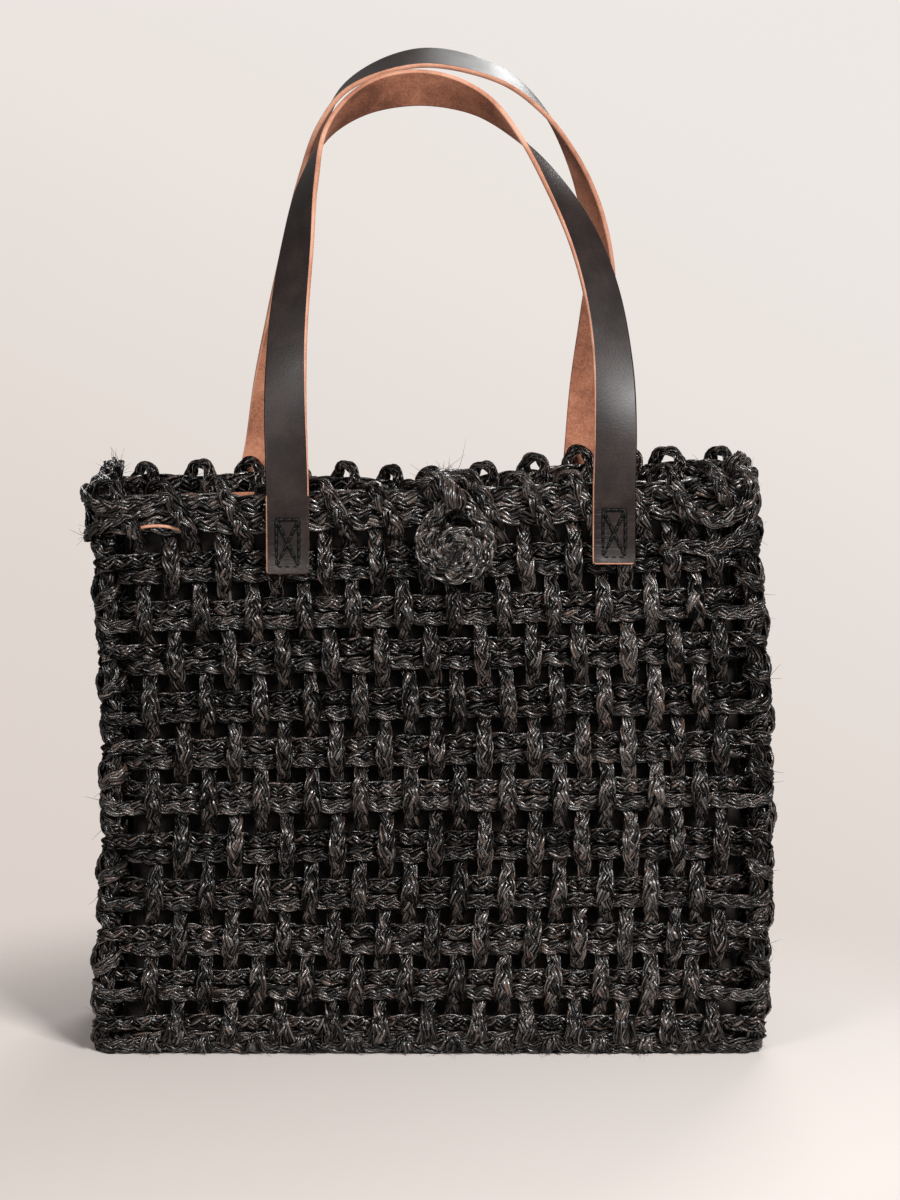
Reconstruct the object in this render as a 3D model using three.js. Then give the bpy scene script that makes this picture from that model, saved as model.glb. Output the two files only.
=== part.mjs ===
// A tote bag woven from plaited grass cords, in millimetres, +Z up, its front facing -Y.
// Doubled plaits run round the bag as courses, single plaits pass up and down between them and over
// the rim as loops. A cloth pouch hangs inside, two leather handles are sewn to the outside, and a
// plaited loop comes over from the back rim and closes round a coiled button.
import * as THREE from "three";

// Pieces that touch are drawn this far apart
const SEAT_GAP = 0.3;

// The weave's mid-surface: the bag is a little wider at the base than at the rim
const BASE_WIDTH = 348;
const RIM_WIDTH = 336;
const WEAVE_DEPTH = 106;
const CORNER_RADIUS = 9;

// The closing loop draws the middle of the back rim forwards
const PINCH_DEPTH = 14;
const PINCH_FROM_Z = 90;
const PINCH_STATIONS = 4;

// A single plait, as used for the upright cords
const PLAIT_WIDTH = 8;
const PLAIT_THICKNESS = 3.2;

// A course is two plaits side by side, with a waist between them
const COURSES = 11;
const COURSE_PITCH = 24.5;
const COURSE_HEIGHT = 15.2;
const COURSE_THICKNESS = 4.4;
const COURSE_WAIST = 2.2;
const FOLD_SPACE = 0.7;

// The rim course is thicker, and the upright cords make a loop over it
const RIM_HEIGHT = 19;
const RIM_THICKNESS = 5.6;
const RIM_SPACE = 12;
const LOOP_RISE = 5.3;
const LOOP_HALF_SPAN = 4.3;
const LOOP_LEAN = 5.4;
const SIDE_LOOP_LEAN = 3;
const SHOULDER_RISE = 2;
const SHOULDER_SWING = 4.2;
const RIM_PASS_SPACE = 0.5;

// Where a cord crosses the rim: how far up and down, and how much of its lean it has by then
const RIM_CROSSING_SHARE = 0.38;
const LEAN_AT_RIM_MIDDLE = 0.4;
const LEAN_AT_RIM_TOP = 0.8;

// A cord that slants through the wall takes this much more room than its thickness
const SLANT_FACTOR = 1.15;

// Upright cords, counted along one face, with one of them on each corner of the front and back
const FRONT_COLUMNS = 26;
const SIDE_COLUMNS = 8;
const FRONT_EDGE_SPACE = 11;
const SIDE_EDGE_SPACE = 4.1;
const CORNER_RUN_INSET = 14.5;
const CORNER_TURN_DEPTH = 6.5;
const CORNER_LEAD = 4.5;
const BASE_PLAIT_INSET = 5;
const BASE_PLAIT_TURN = 20;

// Leather facings inside the rim, and the cloth pouch sewn to them
const FACING_LENGTH = 300;
const FACING_HEIGHT = 38;
const FACING_THICKNESS = 1.6;
const FACING_TOP_Z = 290;
const POUCH_WALL = 1;
const POUCH_HALF_WIDTH = 154;
const POUCH_CORNER_RADIUS = 20;
const POUCH_TOP_Z = 288;
const POUCH_FLOOR_INSET = 14;
const POUCH_BEND_INSET = 3;
const POUCH_BEND_RISE = 18;
const POUCH_STRAIGHT_RISE = 55;
const POUCH_CORNER_STEPS = 3;

// Leather straps
const STRAP_WIDTH = 22;
const STRAP_THICKNESS = 3;
const STRAP_STEPS = 36;
const STRAP_FLAT_SHARE = 0.16;
const FOOT_RISE = 4;
const TAB_TOP_Z = 296;
const TAB_CORNER_RADIUS = 4;
const FRONT_TAB_LENGTHS = [40, 35];
const BACK_TAB_LENGTHS = [38, 38];

// Coiled button and the loop that closes round it
const BUTTON_X = 11.4;
const BUTTON_Z = 269;
const BUTTON_CORD = 3.8;
const BUTTON_COIL_GAP = 0.5;
const BUTTON_TURNS = 2.25;
const BUTTON_START_RADIUS = 2.2;
const BUTTON_STEPS_PER_TURN = 24;
const BUTTON_SIDES = 6;
const BUTTON_EDGE_DEPTH = 3.5;
const BUTTON_CENTRE_DEPTH = 7.5;
const RING_CORD = 6.4;
const RING_CLEARANCE = 1.2;
const RING_TOP_X = 10.5;
const RING_TOP_RISE = 3.5;
const RING_TOP_RADIUS = 5;
const RING_LOW_STEPS = 18;
const RING_TOP_STEPS = 6;
const BRIDGE_WIDTH = 8;
const BRIDGE_THICKNESS = 5;
const BRIDGE_FLAT_SPAN = 8;
const BRIDGE_BEND_SPAN = 28;
const BRIDGE_KNOT_SPAN = 24;
const BRIDGE_KNOT_RISE = 2;
const BRIDGE_END_DROP = 0.4;
const BRIDGE_SWAY = 0.6;
const LOOP_SIDES = 8;
const KNOT_X = 13;
const KNOT_RADIUS = 3.5;
const KNOT_LENGTH = 16;
const KNOT_Z = 297;
const KNOT_END_SHARE = 0.7;
const KNOT_SIDES = 12;

const grassCord = new THREE.MeshStandardMaterial({ color: 0x1d1b1a, roughness: 0.45, metalness: 0 });
const strapLeather = new THREE.MeshStandardMaterial({ color: 0x2a2321, roughness: 0.5, metalness: 0 });
const facingLeather = new THREE.MeshStandardMaterial({ color: 0x4a3128, roughness: 0.6, metalness: 0 });
const liningCloth = new THREE.MeshStandardMaterial({ color: 0x2b201c, roughness: 0.9, metalness: 0 });

const bag = new THREE.Group();
const up = new THREE.Vector3(0, 0, 1);
const down = new THREE.Vector3(0, 0, -1);

function addPiece(name, geometry, material) {
  const piece = new THREE.Mesh(geometry, material);
  piece.name = name;
  bag.add(piece);
  return piece;
}

// A bend's mitre is never drawn out past this cosine of its half angle
const LEAST_MITRE = 0.5;

// Carries a section along stations { point, facing, section? }. The section's first coordinate is the
// width, the second goes out along the facing. A station with no facing is a fold and faces away from
// its bend. Bends are mitred, so the section keeps its size.
function sweep(stations, section, closed) {
  const count = stations.length;
  const sides = section.length;
  const positions = [];
  stations.forEach((station, i) => {
    const before = stations[closed ? (i + count - 1) % count : Math.max(i - 1, 0)].point;
    const after = stations[closed ? (i + 1) % count : Math.min(i + 1, count - 1)].point;
    const inward = station.point.clone().sub(before).normalize();
    const onward = after.clone().sub(station.point).normalize();
    if (inward.lengthSq() === 0) inward.copy(onward);
    if (onward.lengthSq() === 0) onward.copy(inward);
    const tangent = inward.clone().add(onward).normalize();
    const bend = onward.clone().sub(inward);
    const stretch = bend.length() > 1e-6 ? 1 / Math.max(tangent.dot(onward), LEAST_MITRE) - 1 : 0;
    bend.normalize();
    const facing = station.facing ?? bend.clone().negate();
    const width = facing.clone().cross(tangent).normalize();
    const outward = tangent.clone().cross(width).normalize();
    for (const [a, b] of station.section ?? section) {
      const offset = width.clone().multiplyScalar(a).addScaledVector(outward, b);
      offset.addScaledVector(bend, stretch * offset.dot(bend));
      positions.push(...offset.add(station.point).toArray());
    }
  });
  const faces = [];
  const last = closed ? count : count - 1;
  for (let i = 0; i < last; i++) {
    const j = (i + 1) % count;
    for (let k = 0; k < sides; k++) {
      const l = (k + 1) % sides;
      faces.push(i * sides + k, i * sides + l, j * sides + l);
      faces.push(i * sides + k, j * sides + l, j * sides + k);
    }
  }
  if (!closed) {
    const end = (count - 1) * sides;
    for (let k = 1; k < sides - 1; k++) {
      faces.push(0, k + 1, k);
      faces.push(end, end + k, end + k + 1);
    }
  }
  return meshOf(positions, faces);
}

function meshOf(positions, faces) {
  const geometry = new THREE.BufferGeometry();
  geometry.setAttribute("position", new THREE.Float32BufferAttribute(positions, 3));
  geometry.setIndex(faces);
  return geometry;
}

function bandSection(width, thickness) {
  const w = width / 2;
  const t = thickness / 2;
  return [[w, -t], [w, t], [-w, t], [-w, -t]];
}

// Two plaits side by side: full thickness at the middle of each, and a waist between them
function doublePlaitSection(height, thickness, waist) {
  const [h, t, w] = [height / 2, thickness / 2, waist / 2];
  return [[h, 0], [h / 2, t], [0, w], [-h / 2, t], [-h, 0], [-h / 2, -t], [0, -w], [h / 2, -t]];
}

function roundSection(halfWidth, halfDepth, sides) {
  return Array.from({ length: sides }, (_, k) => {
    const turn = (2 * Math.PI * (k + 0.5)) / sides;
    return [halfWidth * Math.cos(turn), halfDepth * Math.sin(turn)];
  });
}

// Heights: the low runs lie on the ground, the high runs cross them, and the courses start above
const lowRunZ = PLAIT_THICKNESS / 2;
const highRunZ = lowRunZ + PLAIT_THICKNESS + SEAT_GAP;
const firstCourseZ = highRunZ + PLAIT_THICKNESS / 2 + FOLD_SPACE + COURSE_HEIGHT / 2;
const courseZ = (k) => firstCourseZ + k * COURSE_PITCH;
const rimZ = courseZ(COURSES - 1) + COURSE_HEIGHT / 2 + RIM_SPACE + RIM_HEIGHT / 2;
const rimTopZ = rimZ + RIM_HEIGHT / 2;

const halfWidthAt = (z) => THREE.MathUtils.mapLinear(z, firstCourseZ, rimZ, BASE_WIDTH, RIM_WIDTH) / 2;
const halfDepthAt = () => WEAVE_DEPTH / 2;

// The four faces of the weave. A face's own coordinate runs from left to right, seen from outside
const wide = { half: halfWidthAt, reach: halfDepthAt, columns: FRONT_COLUMNS };
const narrow = { half: halfDepthAt, reach: halfWidthAt, columns: SIDE_COLUMNS };
const faces = {
  front: { across: [1, 0, 0], out: [0, -1, 0], ...wide },
  right: { across: [0, 1, 0], out: [1, 0, 0], ...narrow },
  back: { across: [-1, 0, 0], out: [0, 1, 0], ...wide },
  left: { across: [0, -1, 0], out: [-1, 0, 0], ...narrow },
};
for (const face of Object.values(faces)) {
  face.across = new THREE.Vector3(...face.across);
  face.out = new THREE.Vector3(...face.out);
}
faces.back.pinched = true;

const frontPitch = (2 * (RIM_WIDTH / 2 - CORNER_RADIUS - FRONT_EDGE_SPACE)) / (FRONT_COLUMNS - 3);
const sidePitch = (2 * (WEAVE_DEPTH / 2 - CORNER_RADIUS - SIDE_EDGE_SPACE)) / (SIDE_COLUMNS - 1);
const cornerArc = (CORNER_RADIUS * Math.PI) / 4;

// Depth of the pinch: a smooth bump across the face, straight between stations two columns apart
const stationPitch = 2 * frontPitch;
function pinchAcross(u) {
  const bump = (station) => {
    const share = Math.min(Math.abs(station) / PINCH_STATIONS, 1);
    return Math.cos((share * Math.PI) / 2) ** 2;
  };
  const left = Math.floor(u / stationPitch);
  return THREE.MathUtils.lerp(bump(left), bump(left + 1), u / stationPitch - left);
}
const pinchUp = (z) => THREE.MathUtils.smoothstep(z, PINCH_FROM_Z, rimZ);

// The point of a face at u across and z up, so far outside the mid-surface, and its outward normal
function onWeave(face, u, z, offset, pinchZ = z) {
  const flat = face.half(z) - CORNER_RADIUS;
  const reach = face.reach(z);
  const point = new THREE.Vector3();
  const normal = face.out.clone();
  if (Math.abs(u) > flat) {
    const turn = (Math.sign(u) * (Math.abs(u) - flat)) / CORNER_RADIUS;
    normal.multiplyScalar(Math.cos(turn)).addScaledVector(face.across, Math.sin(turn));
    point.addScaledVector(face.across, Math.sign(u) * flat);
    point.addScaledVector(face.out, reach - CORNER_RADIUS);
    point.addScaledVector(normal, CORNER_RADIUS + offset);
  } else {
    const depth = face.pinched ? PINCH_DEPTH * pinchUp(pinchZ) : 0;
    const step = 0.5;
    const slope = (depth * (pinchAcross(u + step) - pinchAcross(u - step))) / (2 * step);
    const rise = (pinchUp(pinchZ + step) - pinchUp(pinchZ - step)) / (2 * step);
    normal.addScaledVector(face.across, slope);
    if (face.pinched) normal.addScaledVector(up, PINCH_DEPTH * pinchAcross(u) * rise);
    normal.normalize();
    point.addScaledVector(face.across, u).addScaledVector(face.out, reach - depth * pinchAcross(u));
    point.addScaledVector(normal, offset);
  }
  point.z += z;
  return { point, facing: normal };
}

// Courses: closed hoops with three points on each corner, and the pinch's stations on the back
function hoop(z, section) {
  const stations = [];
  for (const face of Object.values(faces)) {
    const flat = face.half(z) - CORNER_RADIUS;
    const across = [-flat, flat, flat + cornerArc];
    if (face.pinched && pinchUp(z) > 0) {
      for (let s = -PINCH_STATIONS; s <= PINCH_STATIONS; s++) across.push(s * stationPitch);
      across.sort((a, b) => a - b);
    }
    stations.push(...across.map((u) => onWeave(face, u, z, 0)));
  }
  return sweep(stations, section, true);
}
const courseSection = doublePlaitSection(COURSE_HEIGHT, COURSE_THICKNESS, COURSE_WAIST);
for (let k = 0; k < COURSES; k++) {
  addPiece("course_" + String(k + 1).padStart(2, "0"), hoop(courseZ(k), courseSection), grassCord);
}
const rimSection = doublePlaitSection(RIM_HEIGHT, RIM_THICKNESS, RIM_THICKNESS / 2);
addPiece("rim_course", hoop(rimZ, rimSection), grassCord);

// How far an upright cord swings off the mid-surface to pass a course. Its middle line runs straight
// from one course to the next, so where a plait is thickest it has already come part of the way back.
const lobeShare = COURSE_HEIGHT / 4 / COURSE_PITCH;
function swings(outerNeed, innerNeed) {
  const solve = (own, other) => (own * (1 - lobeShare) + other * lobeShare) / (1 - 2 * lobeShare);
  return { outer: solve(outerNeed, innerNeed), inner: solve(innerNeed, outerNeed) };
}
const slantedHalf = (PLAIT_THICKNESS / 2) * SLANT_FACTOR;
const passCourse = COURSE_THICKNESS / 2 + SEAT_GAP + slantedHalf;
const faceSwing = swings(passCourse, passCourse).outer;

// A corner's flat cord lies across it, and inside the corner it has to fit between the two sides
const cornerChord = Math.cos(Math.PI / 8);
function insideCorner(halfCourse, halfCord) {
  const room = CORNER_RADIUS * cornerChord - halfCourse - SEAT_GAP;
  return CORNER_RADIUS + halfCord - Math.sqrt(Math.max(room ** 2 - (PLAIT_WIDTH / 2) ** 2, 0));
}
const cornerNeed = COURSE_THICKNESS / 2 / cornerChord + SEAT_GAP + slantedHalf;
const cornerSwing = swings(cornerNeed, insideCorner(COURSE_THICKNESS / 2, slantedHalf));
const rimSwing = RIM_THICKNESS / 2 + RIM_PASS_SPACE + PLAIT_THICKNESS / 2;
const cornerRimSwing = {
  outer: rimSwing / cornerChord,
  inner: insideCorner(RIM_THICKNESS / 2, PLAIT_THICKNESS / 2),
};
const weaveOutside = faceSwing + slantedHalf;

function isCorner(face, column) {
  return face.columns === FRONT_COLUMNS && (column === 0 || column === FRONT_COLUMNS - 1);
}

function columnAcross(face, column, z) {
  const middle = (face.columns - 1) / 2;
  if (isCorner(face, column)) {
    return Math.sign(column - middle) * (face.half(z) - CORNER_RADIUS + cornerArc);
  }
  return (column - middle) * (face.columns === FRONT_COLUMNS ? frontPitch : sidePitch);
}

// The crossings of one upright cord, from the base up, without the fold under the base.
// Even columns pass outside the lowest course, odd ones inside it.
function leg(face, column, loopAcross) {
  const corner = isCorner(face, column);
  const odd = column % 2;
  const reach = corner ? cornerSwing : { outer: faceSwing, inner: faceSwing };
  const stations = [];
  for (let k = 0; k < COURSES; k++) {
    const swing = k % 2 === odd ? reach.outer : -reach.inner;
    stations.push(onWeave(face, columnAcross(face, column, courseZ(k)), courseZ(k), swing));
  }
  const rimReach = corner ? cornerRimSwing : { outer: rimSwing, inner: rimSwing };
  const rimOffset = odd ? rimReach.outer : -rimReach.inner;
  const foot = columnAcross(face, column, rimZ);
  const lean = odd ? loopAcross + LOOP_HALF_SPAN - foot : loopAcross - LOOP_HALF_SPAN - foot;
  const lowZ = rimZ - RIM_CROSSING_SHARE * RIM_HEIGHT;
  const highZ = rimZ + RIM_CROSSING_SHARE * RIM_HEIGHT;
  stations.push(onWeave(face, foot, lowZ, rimOffset, rimZ));
  if (corner) stations.push(onWeave(face, foot + LEAN_AT_RIM_MIDDLE * lean, rimZ, rimOffset, rimZ));
  stations.push(onWeave(face, foot + LEAN_AT_RIM_TOP * lean, highZ, rimOffset, rimZ));
  return stations;
}

// The loop over the rim, from the inner leg to the outer one
function rimLoop(face, loopAcross) {
  const shoulder = (side) => {
    const across = loopAcross + side * LOOP_HALF_SPAN;
    return onWeave(face, across, rimTopZ + SHOULDER_RISE, side * SHOULDER_SWING, rimZ);
  };
  return [shoulder(-1), onWeave(face, loopAcross, rimTopZ + LOOP_RISE, 0, rimZ), shoulder(1)];
}

// Where a cord folds in under the base. On a corner it first comes in to its own run, and the
// outermost side cords spread to the front and back edges of the base.
function fold(face, column, runZ, outside) {
  const turn = (across, out) => {
    const point = new THREE.Vector3(0, 0, runZ).addScaledVector(face.across, across);
    return { point: point.addScaledVector(face.out, out), facing: down.clone() };
  };
  const side = Math.sign(column - (face.columns - 1) / 2);
  const swing = outside ? faceSwing : -faceSwing;
  const under = { point: onWeave(face, columnAcross(face, column, runZ), runZ, swing).point };
  if (isCorner(face, column)) {
    const inner = turn(side * (BASE_WIDTH / 2 - CORNER_RUN_INSET), WEAVE_DEPTH / 2 - CORNER_TURN_DEPTH);
    const lead = { point: inner.point.clone().addScaledVector(up, CORNER_LEAD), facing: face.out };
    return outside ? [inner, under] : [{ point: inner.point }, lead];
  }
  if (face.columns === SIDE_COLUMNS && (column === 0 || column === SIDE_COLUMNS - 1)) {
    return [turn(side * (WEAVE_DEPTH / 2 - BASE_PLAIT_INSET), BASE_WIDTH / 2 - BASE_PLAIT_TURN), under];
  }
  return [under];
}

// One cord: up and down one face with a loop over the rim, under the base, and the same on the
// opposite face. It closes on itself under the base.
function uprightPair(face, opposite, pair, runZ, lean) {
  const half = (side, first) => {
    const across = (columnAcross(side, first, rimZ) + columnAcross(side, first + 1, rimZ)) / 2 - lean;
    return [
      ...fold(side, first, runZ, true),
      ...leg(side, first, across),
      ...rimLoop(side, across),
      ...leg(side, first + 1, across).reverse(),
      ...fold(side, first + 1, runZ, false).reverse(),
    ];
  };
  const first = 2 * pair;
  const stations = [...half(face, first), ...half(opposite, face.columns - 2 - first)];
  return sweep(stations, bandSection(PLAIT_WIDTH, PLAIT_THICKNESS), true);
}
for (let pair = 0; pair < FRONT_COLUMNS / 2; pair++) {
  const geometry = uprightPair(faces.front, faces.back, pair, highRunZ, LOOP_LEAN);
  addPiece("upright_pair_" + String(pair + 1).padStart(2, "0"), geometry, grassCord);
}
for (let pair = 0; pair < SIDE_COLUMNS / 2; pair++) {
  const geometry = uprightPair(faces.right, faces.left, pair, lowRunZ, SIDE_LOOP_LEAN);
  addPiece("side_upright_pair_" + (pair + 1), geometry, grassCord);
}

// Leather facings against the inside of the weave
const facingBottomZ = FACING_TOP_Z - FACING_HEIGHT;
const facingOffset = -(weaveOutside + SEAT_GAP + FACING_THICKNESS / 2);
function facing(face) {
  const across = [-FACING_LENGTH / 2, FACING_LENGTH / 2];
  if (face.pinched) {
    for (let s = -PINCH_STATIONS; s <= PINCH_STATIONS; s++) across.push(s * stationPitch);
    across.sort((a, b) => a - b);
  }
  const z = FACING_TOP_Z - FACING_HEIGHT / 2;
  const stations = across.map((u) => onWeave(face, u, z, facingOffset, rimZ));
  return sweep(stations, bandSection(FACING_HEIGHT, FACING_THICKNESS), false);
}
addPiece("front_facing", facing(faces.front), facingLeather);
addPiece("back_facing", facing(faces.back), facingLeather);

// Cloth pouch: an open shell that hangs from the facings and rests on the base runs
const pouchInset = weaveOutside + FACING_THICKNESS + 2 * SEAT_GAP;
const pouchFloorZ = highRunZ + PLAIT_THICKNESS / 2 + SEAT_GAP;
function pouchRing(z, inset, wall) {
  const halfX = POUCH_HALF_WIDTH - inset - wall;
  const halfY = WEAVE_DEPTH / 2 - pouchInset - inset / 2 - wall;
  const radius = POUCH_CORNER_RADIUS - wall;
  const pinch = PINCH_DEPTH * (z >= facingBottomZ ? 1 : pinchUp(z));
  const ring = [];
  const corners = [[1, -1, -90], [1, 1, 0], [-1, 1, 90], [-1, -1, 180]];
  corners.forEach(([sx, sy, startAngle], i) => {
    for (let step = 0; step <= POUCH_CORNER_STEPS; step++) {
      const turn = THREE.MathUtils.degToRad(startAngle + (90 * step) / POUCH_CORNER_STEPS);
      const x = sx * (halfX - radius) + radius * Math.cos(turn);
      const y = sy * (halfY - radius) + radius * Math.sin(turn);
      ring.push(new THREE.Vector3(x, y, z));
    }
    if (i === 1) {
      for (let s = PINCH_STATIONS; s >= -PINCH_STATIONS; s--) {
        const x = s * stationPitch;
        ring.push(new THREE.Vector3(x, halfY - pinch * pinchAcross(x), z));
      }
    }
  });
  return ring;
}
function pouchShell() {
  const outer = [
    [pouchFloorZ, POUCH_FLOOR_INSET],
    [pouchFloorZ + POUCH_BEND_RISE, POUCH_BEND_INSET],
    [pouchFloorZ + POUCH_STRAIGHT_RISE, 0],
    [PINCH_FROM_Z, 0],
    [(PINCH_FROM_Z + facingBottomZ) / 2, 0],
    [facingBottomZ, 0],
    [POUCH_TOP_Z, 0],
  ];
  const rings = outer.map(([z, inset]) => pouchRing(z, inset, 0));
  const inner = outer.map(([z, inset]) => [Math.max(z, pouchFloorZ + POUCH_WALL), inset]);
  rings.push(...inner.reverse().map(([z, inset]) => pouchRing(z, inset, POUCH_WALL)));
  const count = rings[0].length;
  const positions = rings.flat().flatMap((p) => p.toArray());
  const triangles = [];
  for (let i = 0; i < rings.length - 1; i++) {
    for (let k = 0; k < count; k++) {
      const [a, b] = [i * count + k, i * count + ((k + 1) % count)];
      triangles.push(a, b, b + count, a, b + count, a + count);
    }
  }
  const floorCentre = rings.length * count;
  positions.push(0, 0, pouchFloorZ, 0, 0, pouchFloorZ + POUCH_WALL);
  const lastRing = (rings.length - 1) * count;
  for (let k = 0; k < count; k++) {
    const next = (k + 1) % count;
    triangles.push(floorCentre, next, k);
    triangles.push(floorCentre + 1, lastRing + k, lastRing + next);
  }
  return meshOf(positions, triangles);
}
addPiece("lining_pouch", pouchShell(), liningCloth);

// Handles. A strap lies flat on the bag, rises, and turns over as it crosses the top.
// Route points are [x, z] on the strap's middle line, and topY is how far out its top lies. turnOver
// is how far it has rolled, in degrees, at the share of its length turnAt, and spread is how far the
// roll reaches to the left and right of there.
const strapOffset = weaveOutside + SEAT_GAP + STRAP_THICKNESS / 2;
const strapY = WEAVE_DEPTH / 2 + strapOffset;
const handles = {
  front: {
    side: -1,
    route: [[-75.6, 312], [-76.4, 348], [-75, 385], [-71, 422], [-65.5, 456], [-55, 483], [-34, 500],
      [-6, 505.3], [23, 497.6], [45, 479], [63, 455], [78, 427], [87.5, 397], [92.5, 363], [93.6, 330]],
    feet: [-75, 92.6],
    tabs: FRONT_TAB_LENGTHS,
    topY: 18.3,
    turnOver: 143,
    turnAt: 0.48,
    spread: [73, 88],
  },
  back: {
    side: 1,
    route: [[-93.5, 312], [-88.5, 346], [-82, 383], [-75, 419], [-68, 456], [-59.5, 487], [-45, 507.5],
      [-7, 521.7], [35, 512.5], [57.3, 494.7], [73, 471], [84, 443], [89.8, 408], [88.2, 381], [84.8, 340]],
    feet: [-95.4, 81.5],
    tabs: BACK_TAB_LENGTHS,
    topY: 17.6,
    turnOver: 115,
    turnAt: 0.5,
    spread: [125, 137],
  },
};

function leanedY(handle, z, topZ) {
  const share = THREE.MathUtils.smoothstep(z, TAB_TOP_Z + FOOT_RISE, topZ);
  return handle.side * THREE.MathUtils.lerp(strapY, handle.topY, share);
}

function strapArch(handle) {
  const startZ = TAB_TOP_Z + SEAT_GAP;
  const topZ = Math.max(...handle.route.map(([, z]) => z));
  const at = (x, z) => new THREE.Vector3(x, leanedY(handle, z, topZ), z);
  const [left, right] = handle.feet;
  const route = handle.route.map(([x, z]) => at(x, z));
  const points = [at(left, startZ + FOOT_RISE), ...route, at(right, startZ + FOOT_RISE)];
  const curve = new THREE.CatmullRomCurve3(points, false, "centripetal");
  curve.arcLengthDivisions = 600;
  const length = curve.getLength();
  const stations = [];
  for (let i = 0; i <= STRAP_STEPS; i++) {
    const share = i / STRAP_STEPS;
    const tangent = curve.getTangentAt(share);
    const away = (share - handle.turnAt) * length;
    const spread = handle.spread[away < 0 ? 0 : 1];
    const fade = THREE.MathUtils.smoothstep(Math.min(share, 1 - share), 0, STRAP_FLAT_SHARE);
    const roll = (fade * handle.turnOver) / (1 + (away / spread) ** 2);
    const facing = new THREE.Vector3(0, handle.side, 0);
    facing.addScaledVector(tangent, -facing.dot(tangent)).normalize();
    facing.applyAxisAngle(tangent, THREE.MathUtils.degToRad(handle.side * roll));
    stations.push({ point: curve.getPointAt(share), facing });
  }
  const flat = new THREE.Vector3(0, handle.side, 0);
  stations.unshift({ point: at(left, startZ), facing: flat });
  stations.push({ point: at(right, startZ), facing: flat });
  return sweep(stations, bandSection(STRAP_WIDTH, STRAP_THICKNESS), false);
}

// The sewn end of a strap: square at the fold line, with rounded lower corners
function strapTab(x, side, length) {
  const [w, r] = [STRAP_WIDTH / 2, TAB_CORNER_RADIUS];
  const outline = new THREE.Shape();
  outline.moveTo(w, 0);
  outline.lineTo(-w, 0);
  outline.lineTo(-w, r - length);
  outline.absarc(r - w, r - length, r, Math.PI, 1.5 * Math.PI, false);
  outline.absarc(w - r, r - length, r, 1.5 * Math.PI, 2 * Math.PI, false);
  outline.closePath();
  const settings = { depth: STRAP_THICKNESS, bevelEnabled: false, curveSegments: 4 };
  const geometry = new THREE.ExtrudeGeometry(outline, settings);
  geometry.rotateX(Math.PI / 2);
  geometry.translate(x, side * strapY + STRAP_THICKNESS / 2, TAB_TOP_Z);
  return geometry;
}
for (const [name, handle] of Object.entries(handles)) {
  addPiece(name + "_handle", strapArch(handle), strapLeather);
  addPiece(name + "_left_tab", strapTab(handle.feet[0], handle.side, handle.tabs[0]), strapLeather);
  addPiece(name + "_right_tab", strapTab(handle.feet[1], handle.side, handle.tabs[1]), strapLeather);
}

// Coiled button: a flat spiral of plait, thicker at its middle, sewn to the front of the weave
const buttonBackY = -(WEAVE_DEPTH / 2 + weaveOutside + SEAT_GAP);
const buttonPitch = BUTTON_CORD + BUTTON_COIL_GAP;
const buttonCoilRadius = BUTTON_START_RADIUS + BUTTON_TURNS * buttonPitch;
function buttonStations() {
  const steps = Math.round(BUTTON_TURNS * BUTTON_STEPS_PER_TURN);
  return Array.from({ length: steps + 1 }, (_, i) => {
    const share = i / steps;
    const turn = share * BUTTON_TURNS * 2 * Math.PI;
    const radius = BUTTON_START_RADIUS + share * BUTTON_TURNS * buttonPitch;
    const depth = THREE.MathUtils.lerp(BUTTON_CENTRE_DEPTH, BUTTON_EDGE_DEPTH, share ** 1.5);
    const x = BUTTON_X + radius * Math.cos(turn);
    const z = BUTTON_Z + radius * Math.sin(turn);
    return {
      point: new THREE.Vector3(x, buttonBackY - depth / 2, z),
      facing: new THREE.Vector3(0, -1, 0),
      section: roundSection(BUTTON_CORD / 2, depth / 2, BUTTON_SIDES),
    };
  });
}
const coil = buttonStations();
addPiece("closure_button", sweep(coil, coil[0].section, false), grassCord);

function leastCoilGap(stations) {
  let least = Infinity;
  const halfTurn = BUTTON_STEPS_PER_TURN / 2;
  stations.forEach((a, i) => {
    stations.slice(i + halfTurn + 1).forEach((b) => {
      const apart = Math.hypot(a.point.x - b.point.x, a.point.z - b.point.z);
      least = Math.min(least, apart - BUTTON_CORD);
    });
  });
  return least;
}
console.log("closure_button: least gap between turns " + leastCoilGap(coil).toFixed(2) + " mm");

// Closing loop: a ring round the button that hangs from a bend over the front rim, and the bridge
// that carries it from a knot inside the back rim, between the two middle loops of the front rim
const bridgeFrontX = frontPitch - LOOP_LEAN;
const ringTopZ = rimTopZ + RING_TOP_RISE;
const ringY = buttonBackY - RING_CORD / 2;
const ringRadius = buttonCoilRadius + BUTTON_CORD / 2 + RING_CLEARANCE + RING_CORD / 2;
function ringStations() {
  const eye = new THREE.Vector2(BUTTON_X, BUTTON_Z);
  const crown = new THREE.Vector2(RING_TOP_X, ringTopZ - RING_TOP_RADIUS);
  const rise = crown.clone().sub(eye);
  const heading = rise.angle();
  const spread = Math.acos((ringRadius - RING_TOP_RADIUS) / rise.length());
  const stations = [];
  const arc = (centre, radius, from, to, steps) => {
    for (let i = 0; i <= steps; i++) {
      const turn = from + ((to - from) * i) / steps;
      const x = centre.x + radius * Math.cos(turn);
      const z = centre.y + radius * Math.sin(turn);
      stations.push({ point: new THREE.Vector3(x, ringY, z), facing: new THREE.Vector3(0, -1, 0) });
    }
  };
  arc(eye, ringRadius, heading + spread, heading - spread + 2 * Math.PI, RING_LOW_STEPS);
  arc(crown, RING_TOP_RADIUS, heading - spread, heading + spread, RING_TOP_STEPS);
  return stations;
}
const ringSection = roundSection(RING_CORD / 2, RING_CORD / 2, LOOP_SIDES);
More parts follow.
